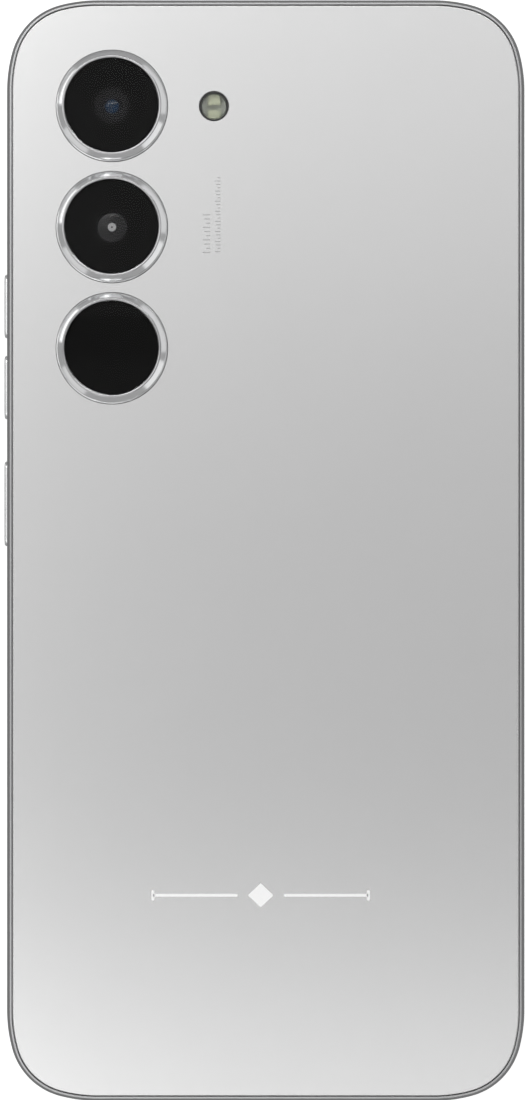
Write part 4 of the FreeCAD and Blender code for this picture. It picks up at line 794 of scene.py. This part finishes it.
def lens_coating():
    """Dark coated lens glass, with a painted bluish reflection of its coating towards the middle of the main
    lens.
    """
    name = "coated_lens"
    if name in bpy.data.materials:
        return bpy.data.materials[name]
    made, tree, shader = tree_of(name)
    place = node(tree, "ShaderNodeTexCoord")
    offset = node(tree, "ShaderNodeVectorMath", [(0, place.outputs["Object"]),
                                                 (1, tuple(-ring_centre("upper")))], operation="ADD")
    flat = node(tree, "ShaderNodeVectorMath", [(0, offset.outputs["Vector"]), (1, (1.0, 1.0, 0.0))],
                operation="MULTIPLY")
    distance = node(tree, "ShaderNodeVectorMath", [(0, flat.outputs["Vector"])], operation="LENGTH")
    # The middle of the main lens gets a painted bluish reflection of its coating, fading out from 0.9 to
    # 1.15 mm off its axis.
    ramp = node(tree, "ShaderNodeMapRange", [("Value", distance.outputs["Value"]), ("From Min", 0.9 * MM),
                                             ("From Max", 1.15 * MM), ("To Min", 1.0), ("To Max", 0.0)])
    grain = noise(tree, 0.4 * MM)
    # depth is the strength of that painted reflection, thinned at random by the grain.
    depth = node(tree, "ShaderNodeMath", [(0, ramp.outputs["Result"]), (1, ranged(tree, grain, 0.7, 1.0))],
                 operation="MULTIPLY")
    tint = node(tree, "ShaderNodeMix", data_type="RGBA")
    tree.links.new(depth.outputs["Value"], tint.inputs[0])
    tint.inputs[6].default_value = (0.006, 0.006, 0.007, 1)
    # The bluish colour of the painted reflection.
    tint.inputs[7].default_value = (0.007, 0.017, 0.034, 1)
    tree.links.new(tint.outputs[2], shader.inputs["Base Color"])
    tree.links.new(ranged(tree, grain, 0.04, 0.08), shader.inputs["Roughness"])
    shader.inputs["Specular IOR Level"].default_value = 0.1
    return made


class PHONE_OT_lenses(bpy.types.Operator):
    """The main camera's barrel and front glass, and the small camera's nose and lens"""
    bl_idname = "phone.lenses"
    bl_label = "Lenses"

    def execute(self, context):
        cameras = settings()[1]
        low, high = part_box("main_camera_lens")
        centre = ring_centre("upper")
        edge, floor = (high.x - low.x) / 2, high.z - 0.85 * MM
        cone = stepped_cone(cameras.main_cone, cameras.main_glass, high.z, high.z - 0.7 * MM, 5)
        profile = [(0.02 * MM, low.z), (edge, low.z), (edge, high.z), *cone, (cameras.main_glass, floor),
                   (0.02 * MM, floor)]
        barrel = new_mesh("main_lens_barrel", turned(profile, centre))
        finished(barrel, lens_black(), "focus_lens", ["main_camera_lens"])
        glass = new_mesh("main_lens_glass", dome(centre, cameras.main_glass - 0.02 * MM, high.z - 0.7 * MM,
                                                 0.3 * MM, 0.1 * MM))
        finished(glass, lens_coating(), "focus_lens")

        low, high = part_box("auxiliary_camera")
        centre = ring_centre("middle")
        nose, base_top = 2.7 * MM, low.z + 4.25 * MM
        base = rounded_block(low, (high.x, high.y, base_top), 0.15 * MM)
        rim = cameras.small_glass
        profile = rounded([(0.02 * MM, base_top - 0.1 * MM), (nose, base_top - 0.1 * MM), (nose, high.z),
                           (rim, high.z), (rim, high.z - 0.25 * MM), (0.02 * MM, high.z - 0.25 * MM)],
                          0.04 * MM, closed=False)
        body = new_mesh("small_camera_body", together(base, turned(profile, centre, 96)))
        finished(body, lens_black(), stands_for=["auxiliary_camera"])
        lens = new_mesh("small_camera_lens", dome(centre, rim - 0.02 * MM, high.z - 0.2 * MM, 0.18 * MM,
                                                  0.05 * MM))
        finished(lens, material("smoked_lens", tint=(0.009, 0.009, 0.0095), roughness=0.16, grain=0.6,
                                mottle=0.1, polish=0.03, Specular_IOR_Level=0.12))
        pupil = 0.64 * MM
        iris = rounded([(0.14 * MM, high.z - 0.06 * MM), (pupil, high.z - 0.06 * MM),
                        (pupil - 0.05 * MM, high.z + 0.03 * MM), (0.14 * MM, high.z - 0.01 * MM)],
                       0.015 * MM, 3)
        stop = new_mesh("small_camera_stop", turned(iris, centre, 48, closed=True))
        finished(stop, material("pale_stop", tint=(0.19, 0.19, 0.19), roughness=0.4, metallic=0.3, grain=0.2,
                                mottle=0.08))
        return {"FINISHED"}


class PHONE_OT_flash(bpy.types.Operator):
    """The flash: a clear lens with fine rings cut underneath, a dark rim, and two yellow chips"""
    bl_idname = "phone.flash"
    bl_label = "Flash"

    def execute(self, context):
        low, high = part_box("flash_lens")
        centre = np.array([(low.x + high.x) / 2, (low.y + high.y) / 2, 0])
        foot, hub = 0.3 * MM, 0.1 * MM
        lens_radius = FLASH_RADIUS - 0.17 * MM
        ceiling = high.z - 0.7 * MM
        pitch, depth = 0.24 * MM, 0.1 * MM
        grooves = np.arange(hub + pitch, lens_radius - 0.1 * MM, pitch)
        saw = [(hub, ceiling)]
        for r in grooves:
            saw += [(r, ceiling + depth), (r + 0.02 * MM, ceiling)]
        edge = (high.x - low.x) / 2
        profile = [*saw, (lens_radius - 0.02 * MM, low.z), (edge, low.z), (edge, low.z + foot),
                   (lens_radius, low.z + foot)]
        profile += rounded([(lens_radius, high.z - 0.4 * MM), (lens_radius, high.z), (hub, high.z)],
                           0.1 * MM, 5, closed=False).tolist()
        lens = new_mesh("flash_optic", turned(profile, centre, 64))
        finished(lens, material("flash_optic_plastic", tint=(0.88, 0.9, 0.86), roughness=0.3, grain=1.0,
                                mottle=0.01, polish=0.03, Transmission_Weight=1.0, IOR=1.3),
                 stands_for=["flash_lens"])
        lens.visible_shadow = False
        rim = [(lens_radius + 0.01 * MM, low.z + foot + 0.02 * MM), (FLASH_RADIUS, low.z + foot + 0.02 * MM),
               (FLASH_RADIUS, high.z), (lens_radius + 0.01 * MM, high.z)]
        gasket = new_mesh("flash_gasket", turned(rounded(rim, 0.02 * MM, 3), centre, 64, closed=True))
        finished(gasket, black_plastic())

        low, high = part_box("flash_led_board")
        board_top = low.z + 0.3 * MM
        board = new_mesh("flash_board", rounded_block(low, (high.x, high.y, board_top), 0.04 * MM))
        finished(board, material("white_mask", tint=(0.37, 0.38, 0.35), roughness=0.5, grain=0.3),
                 stands_for=["flash_led_board"])
        chips = []
        for side in (-1, 1):
            middle = centre[1] + side * 1.1 * MM
            reach = 0.8 * MM
            chips.append(rounded_block((centre[0] - reach, middle - reach, board_top - 0.02 * MM),
                                       (centre[0] + reach, middle + reach, high.z), 0.06 * MM))
        chip = new_mesh("flash_chips", together(*chips))
        finished(chip, material("phosphor", tint=(0.47, 0.48, 0.35), roughness=0.5, grain=0.1, mottle=0.08))
        return {"FINISHED"}


# ---------------------------------------------------------------- keys and drawer

class PHONE_OT_keys(bpy.types.Operator):
    """The two volume keys and the power key with its sensor face"""
    bl_idname = "phone.keys"
    bl_label = "Keys"

    def execute(self, context):
        fittings = settings()[2]
        for node_name, body in (("volume_up_key", "volume_up"), ("volume_down_key", "volume_down"),
                                ("power_key", "power")):
            low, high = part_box(node_name)
            middle = (low + high) / 2
            cap = high.y - low.y - 2 * fittings.key_flange
            flange_outer = low.x + fittings.key_depth
            flange_inner = flange_outer + fittings.flange_depth
            corners = [(0, -fittings.key_depth - 0.15 * MM), (0, -fittings.key_crown),
                       (0.55 * MM, -fittings.key_crown / 5), (0.97 * MM, 0)]
            profile = rounded(corners, [fittings.key_rim, 0.5 * MM], 7, closed=False)
            crown = carried(stadium(cap, fittings.key_thickness, 14), profile,
                            origin=(low.x, middle.y, middle.z), axes=(Y, -Z, -X))
            flange = rounded_block((flange_outer, low.y, low.z), (flange_inner, high.y, high.z), 0.1 * MM)
            edge, nub_half = 0.1 * MM, Vector((0, 1.5, 0.8)) * MM
            nub_low = Vector((flange_inner - edge, middle.y, middle.z)) - nub_half
            nub = rounded_block(nub_low, Vector((high.x, middle.y, middle.z)) + nub_half, edge)
            key = new_mesh(f"{node_name}_cap", together(crown, flange, nub))
            finished(key, key_metal(), body, [node_name])
        low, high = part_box("fingerprint_sensor")
        middle = (low + high) / 2
        face = stadium(high.y - low.y, high.z - low.z)
        profile = rounded([(0, low.x - high.x), (0, 0), (0.3 * MM, 0)], 0.03 * MM, 4, closed=False)
        sensor = new_mesh("sensor_face", carried(face, profile, origin=(low.x, middle.y, middle.z),
                                                 axes=(Y, -Z, -X)))
        finished(sensor, material("sensor_glaze", tint=(0.42, 0.42, 0.42), roughness=0.2, metallic=0.6,
                                  grain=0.3), "power", ["fingerprint_sensor"])
        return {"FINISHED"}


class PHONE_OT_sim_drawer(bpy.types.Operator):
    """The card drawer: its head with the eject hole, its neck and its plate with two card openings"""
    bl_idname = "phone.sim_drawer"
    bl_label = "Card drawer"

    def execute(self, context):
        fittings = settings()[2]
        low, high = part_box("sim_tray")
        middle = (low + high) / 2
        tall, thick = high.y - low.y, high.z - low.z
        profile = rounded([(0, -fittings.drawer_head), (0, 0), (0.6 * MM, 0)], [0.1 * MM], 6, closed=False)
        shape = carried(stadium(tall, thick, 16), profile, origin=(high.x, middle.y, middle.z),
                        axes=(Y, Z, X))
        head = new_mesh("drawer_head", shape)
        pin = [(fittings.pin_hole, -2 * MM), (fittings.pin_hole, -0.05 * MM),
               (fittings.pin_hole + MM, 0.95 * MM)]
        carve(head, [turned(pin, (high.x, high.y - thick / 2, middle.z), 48, axes=(Y, Z, X))])
        finished(head, key_metal(), "sim_drawer", ["sim_tray"])

        neck_y, neck_z, neck_length = (47.4 * MM, 61.6 * MM), (4.3 * MM, 5.6 * MM), 0.95 * MM
        plate_y, plate_z = (47.9 * MM, 60.1 * MM), (4.55 * MM, 5.35 * MM)
        overlap = 0.1 * MM
        neck_end = high.x - fittings.drawer_head + overlap
        neck_start = neck_end - neck_length
        neck = rounded_block((neck_start, neck_y[0], neck_z[0]), (neck_end, neck_y[1], neck_z[1]), overlap)
        tray = new_mesh("drawer_plate", rounded_block((low.x, plate_y[0], plate_z[0]),
                                                      (neck_start + overlap, plate_y[1], plate_z[1]),
                                                      0.15 * MM))
        cards = []
        for start, long_side, short_side in ((neck_start - 16.0 * MM, 15.2 * MM, 11.2 * MM),
                                             (low.x + 1.0 * MM, 12.5 * MM, 9.0 * MM)):
            centre = (start + long_side / 2, sum(plate_y) / 2)
            corner = np.array([long_side, short_side]) / 2
            outline = rounded(np.array([(1, 1), (-1, 1), (-1, -1), (1, -1)]) * corner, 0.6 * MM)
            cards.append(plate(outline + centre, plate_z[0] - MM / 2, plate_z[1] + MM / 2))
        carve(tray, cards)
        finished(tray, key_metal(), "sim_drawer")
        collar = new_mesh("drawer_neck", neck)
        finished(collar, key_metal(), "sim_drawer")
        return {"FINISHED"}


# ---------------------------------------------------------------- sockets and meshes

class PHONE_OT_usb_socket(bpy.types.Operator):
    """The USB shell with its drawn lip, and the tongue with two rows of contacts"""
    bl_idname = "phone.usb_socket"
    bl_label = "USB socket"

    def execute(self, context):
        wall = settings()[2].usb_wall
        low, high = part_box("usb_shell")
        middle = (low + high) / 2
        deep = high.y - low.y
        floor = deep - 0.5 * MM
        core = 1.4 * MM
        corners = [(core, -deep), (0, -deep), (0, 0), (wall, 0), (wall, -floor), (core, -floor)]
        profile = rounded(corners, np.array([0.15, 0.14, 0.14, 0.1]) * MM, 5, closed=False)
        shape = carried(stadium(high.x - low.x, high.z - low.z, 16), profile,
                        origin=(middle.x, low.y, middle.z), axes=(X, Z, -Y))
        shell = new_mesh("usb_shell_drawn", shape)
        finished(shell, steel(), stands_for=["usb_shell"])
        low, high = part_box("usb_tongue")
        tongue = new_mesh("usb_tongue_moulded", rounded_block(low, high, 0.12 * MM))
        finished(tongue, black_plastic(), stands_for=["usb_tongue"])
        pads, thick, start = [], 0.02 * MM, low.y + 0.45 * MM
        for x in (low.x + high.x) / 2 + np.linspace(-2.75, 2.75, 12) * MM:
            for face, side in ((high.z, 1), (low.z, -1)):
                ends = sorted((face - side * 0.1 * MM, face + side * thick))
                pads.append(rounded_block((x - 0.125 * MM, start, ends[0]),
                                          (x + 0.125 * MM, high.y - 0.3 * MM, ends[1]), 0.01 * MM, 2))
        contacts = new_mesh("usb_contacts", together(*pads))
        finished(contacts, gold())
        return {"FINISHED"}


class PHONE_OT_headphone_socket(bpy.types.Operator):
    """The headphone socket: a moulded block, a round nose, a bore and three gold springs"""
    bl_idname = "phone.headphone_socket"
    bl_label = "Headphone socket"

    def execute(self, context):
        fittings = settings()[2]
        low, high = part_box("headphone_jack")
        middle = (low + high) / 2
        nose_length = 1.55 * MM
        block = new_mesh("headphone_block", rounded_block((low.x, low.y + nose_length, low.z), high,
                                                          0.2 * MM))
        depth, bore, nose = fittings.jack_depth, fittings.jack_bore, fittings.jack_nose
        sleeve = nose - 0.2 * MM
        around = dict(centre=(middle.x, low.y, middle.z), axes=(X, Z, -Y))
        carve(block, [turned([(sleeve, -depth - 0.1 * MM), (sleeve, MM)], steps=64, **around)])
        finished(block, black_plastic(), stands_for=["headphone_jack"])
        corners = [(0.02 * MM, -depth - 0.2 * MM), (sleeve, -depth - 0.2 * MM), (sleeve, -nose_length),
                   (nose, -nose_length + 0.05 * MM), (nose, 0), (bore, 0), (bore, -depth),
                   (0.02 * MM, -depth)]
        profile = rounded(corners, np.array([0.1, 0.02, 0.02, 0.12, 0.2, 0.1]) * MM, 5, closed=False)
        lining = new_mesh("headphone_lining", turned(profile, steps=64, **around))
        finished(lining, material("grey_moulding", tint=(0.07, 0.07, 0.072), roughness=0.4, grain=0.2,
                                  mottle=0.1))
        springs = []
        for back, angle in ((3.2, 30), (6.4, 150), (9.6, 270), (12.6, 60)):
            turn = math.radians(angle)
            across = np.array([math.cos(turn), 0, math.sin(turn)])
            bow = np.linspace(-1, 1, 11)[:, None]
            line = (np.array([middle.x, low.y, middle.z]) + across * (bore - 0.12 * MM * (1 - bow ** 2))
                    + Y * (back + 0.9 * bow) * MM)
            springs.append(wire(line, 0.16 * MM, across))
        contacts = new_mesh("headphone_springs", together(*springs))
        finished(contacts, gold())
        return {"FINISHED"}


def woven(low, high, pitch, radius, long_axis, short_axis, normal):
    """A woven mesh in a box: each wire is a sine wave that passes over and under the crossing wires.

    The wire at the k-th place runs along s as middle + s + radius * cos(pi * (s / pitch + k)) * normal, and
    the crossing wires have the opposite sign.
    """
    low, high = np.asarray(low, float), np.asarray(high, float)
    middle, size = (low + high) / 2, high - low
    wires = []
    for along, across, sign in ((long_axis, short_axis, 1), (short_axis, long_axis, -1)):
        reach, spread = abs(size @ along) / 2 - radius, abs(size @ across) / 2 - radius
        count = int(spread // pitch)
        s = np.linspace(-reach, reach, max(9, int(reach / pitch) * 6))[:, None]
        for k in range(-count, count + 1):
            height = sign * radius * np.cos(math.pi * (s / pitch + k))
            wires.append(wire(middle + across * k * pitch + along * s + normal * height, radius, normal, 5))
    return together(*wires)


class PHONE_OT_sound_meshes(bpy.types.Operator):
    """The woven meshes behind the loudspeaker holes and over the earpiece"""
    bl_idname = "phone.sound_meshes"
    bl_label = "Sound meshes"

    def execute(self, context):
        weave = material("woven_wire", tint=(0.09, 0.09, 0.095), roughness=0.35, metallic=0.8, grain=0.1)
        low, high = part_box("speaker_mesh")
        mesh = new_mesh("speaker_weave", woven(low, high, 0.2 * MM, 0.037 * MM, X, Z, Y))
        finished(mesh, weave, stands_for=["speaker_mesh"])
        low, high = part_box("earpiece_mesh")
        level = high.z - 0.2 * MM
        mesh = new_mesh("earpiece_weave", woven(low, (high.x, high.y, low.z + 0.15 * MM), 0.16 * MM,
                                                0.03 * MM, X, Y, Z))
        finished(mesh, weave, stands_for=["earpiece_mesh"])
        frame_bar = rounded_block((low.x, low.y, level), high, 0.05 * MM)
        backing = new_mesh("earpiece_backing", frame_bar)
        finished(backing, black_plastic())
        return {"FINISHED"}


class PHONE_OT_display_glass(bpy.types.Operator):
    """The front glass with its rounded rim and the notch for the earpiece"""
    bl_idname = "phone.display_glass"
    bl_label = "Display glass"

    def execute(self, context):
        body = settings()[0]
        low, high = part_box("display_glass")
        flat = 6 * MM
        corners = [(flat, low.z), (0, low.z), (0, high.z), (flat, high.z)]
        profile = rounded(corners, [body.glass_rim, body.crisp], 8, closed=False)
        glass = new_mesh("front_glass", carried(inset_path(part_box("side_frame")[1].x - high.x), profile))
        mesh_low, mesh_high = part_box("earpiece_mesh")
        slack = 0.05 * MM
        notch = rounded_block((mesh_low.x - slack, mesh_low.y - slack, low.z - MM),
                              (mesh_high.x + slack, high.y + MM, high.z + MM), 0.2 * MM)
        carve(glass, [notch])
        finished(glass, material("dark_front_glass", tint=(0.007, 0.007, 0.009), roughness=0.03, grain=5.0,
                                 mottle=0.05, polish=0.01, Coat_Weight=1.0),
                 stands_for=["display_glass"])
        return {"FINISHED"}


# ---------------------------------------------------------------- inner parts

INNER_FINISHES = {
    "inner_plate": dict(tint=(0.5, 0.5, 0.51), roughness=0.36, metallic=1.0, grain=0.5, mottle=0.05,
                        relief=0.003),
    "inner_dark": dict(tint=(0.012, 0.012, 0.013), roughness=0.6, grain=0.4, mottle=0.15),
    "inner_screen": dict(tint=(0.02, 0.02, 0.024), roughness=0.15, grain=1.0, mottle=0.1),
    "inner_board": dict(tint=(0.012, 0.09, 0.05), roughness=0.4, grain=0.8, mottle=0.2, relief=0.01),
    "inner_film": dict(tint=(0.3, 0.13, 0.025), roughness=0.3, grain=0.5, mottle=0.1),
    "inner_cell": dict(tint=(0.08, 0.08, 0.09), roughness=0.35, metallic=0.6, grain=1.5, mottle=0.06,
                       relief=0.02),
    "inner_seal": dict(tint=(0.22, 0.03, 0.025), roughness=0.65, grain=0.3, mottle=0.1),
    "inner_chip": dict(tint=(0.03, 0.03, 0.032), roughness=0.5, grain=0.2, mottle=0.15),
    "inner_sensor": dict(tint=(0.03, 0.05, 0.06), roughness=0.12, metallic=0.3, grain=0.2),
}
INNER_OF = {
    "inner_plate": ("mid_plate", "processor_shield", "radio_shield", "bracket_screws", "snap_domes",
                    "sim_reader_shell", "sim_eject_lever", "vibration_motor_case", "vibration_rotor",
                    "main_camera_housing"),
    "inner_dark": ("cover_adhesive", "display_adhesive", "speaker_diaphragm", "antenna_cable"),
    "inner_screen": ("display_panel", "backlight_unit"),
    "inner_board": ("main_board", "sub_board", "battery_protection_board"),
    "inner_film": ("main_flex", "display_flex", "side_key_flex"),
    "inner_cell": ("battery_cell",),
    "inner_seal": ("sim_tray_seal",),
    "inner_chip": ("board_chips", "board_connectors", "upper_bracket", "lower_bracket", "loudspeaker_box",
                   "speaker_driver", "earpiece_speaker", "microphone", "front_camera"),
    "inner_sensor": ("main_camera_sensor",),
}


class PHONE_OT_inner_parts(bpy.types.Operator):
    """Finishes for the parts inside, which keep their own shapes"""
    bl_idname = "phone.inner_parts"
    bl_label = "Inner parts"

    def execute(self, context):
        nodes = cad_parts
        for name, parts in INNER_OF.items():
            inner = material(name, **INNER_FINISHES[name])
            for part in parts:
                nodes[part].data.materials.clear()
                nodes[part].data.materials.append(inner)
        return {"FINISHED"}


# ---------------------------------------------------------------- stage

# Lamps: name, direction round the phone and height over the table in degrees, width and height of the
# panel in metres, and its brightness
LAMPS = [
    ("zenith", 90, 90, 0.9, 0.2, 0.3),
    ("top_high", 90, 80, 0.9, 0.2, 0.7),
    ("top", 90, 64, 0.9, 0.2, 6.5),
    ("bottom_high", 270, 75, 0.9, 0.2, 1.5),
    ("bottom", 270, 50, 0.9, 0.3, 2.0),
    ("left_high", 180, 75, 0.9, 0.25, 0.8),
    ("left", 180, 45, 0.9, 0.25, 1.5),
    ("right", 0, 45, 0.9, 0.25, 1.0),
    ("corner_left", 135, 64, 0.5, 0.5, 1.2),
    ("corner_low", 225, 64, 0.5, 0.5, 1.0),
    ("horizon_right", 30, 9, 1.5, 0.4, 0.4),
    ("horizon_left", 150, 9, 0.9, 0.4, 1.2),
    ("horizon_low_left", 215, 9, 0.9, 0.4, 0.4),
    ("horizon_low_right", 330, 9, 0.9, 0.4, 0.6),
]


def add_lamp(name, azimuth, elevation, width, height, brightness):
    """A soft panel that faces the phone from the lamp distance. Its power is brightness * pi * area."""
    data = bpy.data.lights.new(name, "AREA")
    data.shape = "RECTANGLE"
    data.size, data.size_y = width, height
    data.energy = brightness * math.pi * width * height
    lamp = bpy.data.objects.new(name, data)
    turn, rise = math.radians(azimuth), math.radians(elevation)
    away = Vector((math.cos(turn) * math.cos(rise), math.sin(turn) * math.cos(rise), math.sin(rise)))
    lamp.location = away * settings()[3].lamp_distance
    lamp.rotation_euler = away.to_track_quat("Z", "Y").to_euler()
    bpy.context.scene.collection.objects.link(lamp)
    return lamp


class PHONE_OT_stage(bpy.types.Operator):
    """The pale table, the soft lamps, the room and the camera"""
    bl_idname = "phone.stage"
    bl_label = "Stage"

    def execute(self, context):
        stage = settings()[3]
        scene = context.scene
        half = stage.table_size / 2
        corners = [(-half, -half, 0), (half, -half, 0), (half, half, 0), (-half, half, 0)]
        table = new_mesh("table", (np.array(corners), [[0, 1, 2, 3]]))
        table.data.materials.append(material("light_table", tint=(0.85, 0.85, 0.85), roughness=0.6,
                                             grain=40.0, mottle=0.01, Emission_Strength=0.55,
                                             Emission_Color=(1, 1, 1, 1)))
        table.visible_glossy = False
        for lamp in LAMPS:
            add_lamp(*lamp).data.energy *= stage.level
        scene.world = bpy.data.worlds.new("room")
        scene.world.use_nodes = True
        room = scene.world.node_tree
        seen = node(room, "ShaderNodeLightPath").outputs["Is Camera Ray"]
        room.nodes["Background"].inputs["Color"].default_value = (1, 1, 1, 1)
        room.links.new(ranged(room, seen, stage.surround, 1.0), room.nodes["Background"].inputs["Strength"])
        scene.view_settings.view_transform = "Standard"

        data = bpy.data.cameras.new("camera")
        data.lens = data.sensor_width * stage.distance / stage.covered
        data.clip_start = 0.01
        camera = bpy.data.objects.new("camera", data)
        camera.location = (stage.camera_x, stage.camera_y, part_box("rear_cover")[1].z + stage.distance)
        scene.collection.objects.link(camera)
        scene.camera = camera
        return {"FINISHED"}


# ---------------------------------------------------------------- panel and registration

PIECES = (PHONE_OT_side_frame, PHONE_OT_rear_cover, PHONE_OT_cover_prints, PHONE_OT_camera_rings,
          PHONE_OT_camera_windows, PHONE_OT_lenses, PHONE_OT_flash, PHONE_OT_keys, PHONE_OT_sim_drawer,
          PHONE_OT_usb_socket, PHONE_OT_headphone_socket, PHONE_OT_sound_meshes,
          PHONE_OT_display_glass, PHONE_OT_inner_parts, PHONE_OT_stage)
GROUPS = {"phone_body": BodySettings, "phone_cameras": CameraSettings, "phone_fittings": FittingSettings,
          "phone_stage": StageSettings}


class PHONE_PT_pieces(bpy.types.Panel):
    """Lists the operators that build the phone"""
    bl_idname = "PHONE_PT_pieces"
    bl_label = "Phone"
    bl_space_type = "VIEW_3D"
    bl_region_type = "UI"
    bl_category = "Phone"

    def draw(self, context):
        for piece in PIECES:
            self.layout.operator(piece.bl_idname)


def register():
    for group in (*GROUPS.values(), *PIECES, PHONE_PT_pieces):
        bpy.utils.register_class(group)
    for name, group in GROUPS.items():
        setattr(bpy.types.Scene, name, PointerProperty(type=group))


def unregister():
    for name in GROUPS:
        delattr(bpy.types.Scene, name)
    for group in (PHONE_PT_pieces, *reversed(PIECES), *reversed(GROUPS.values())):
        bpy.utils.unregister_class(group)


def main():
    """Register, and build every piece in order."""
    register()
    for piece in PIECES:
        family, name = piece.bl_idname.split(".")
        getattr(getattr(bpy.ops, family), name)()


if __name__ == "__main__":
    main()
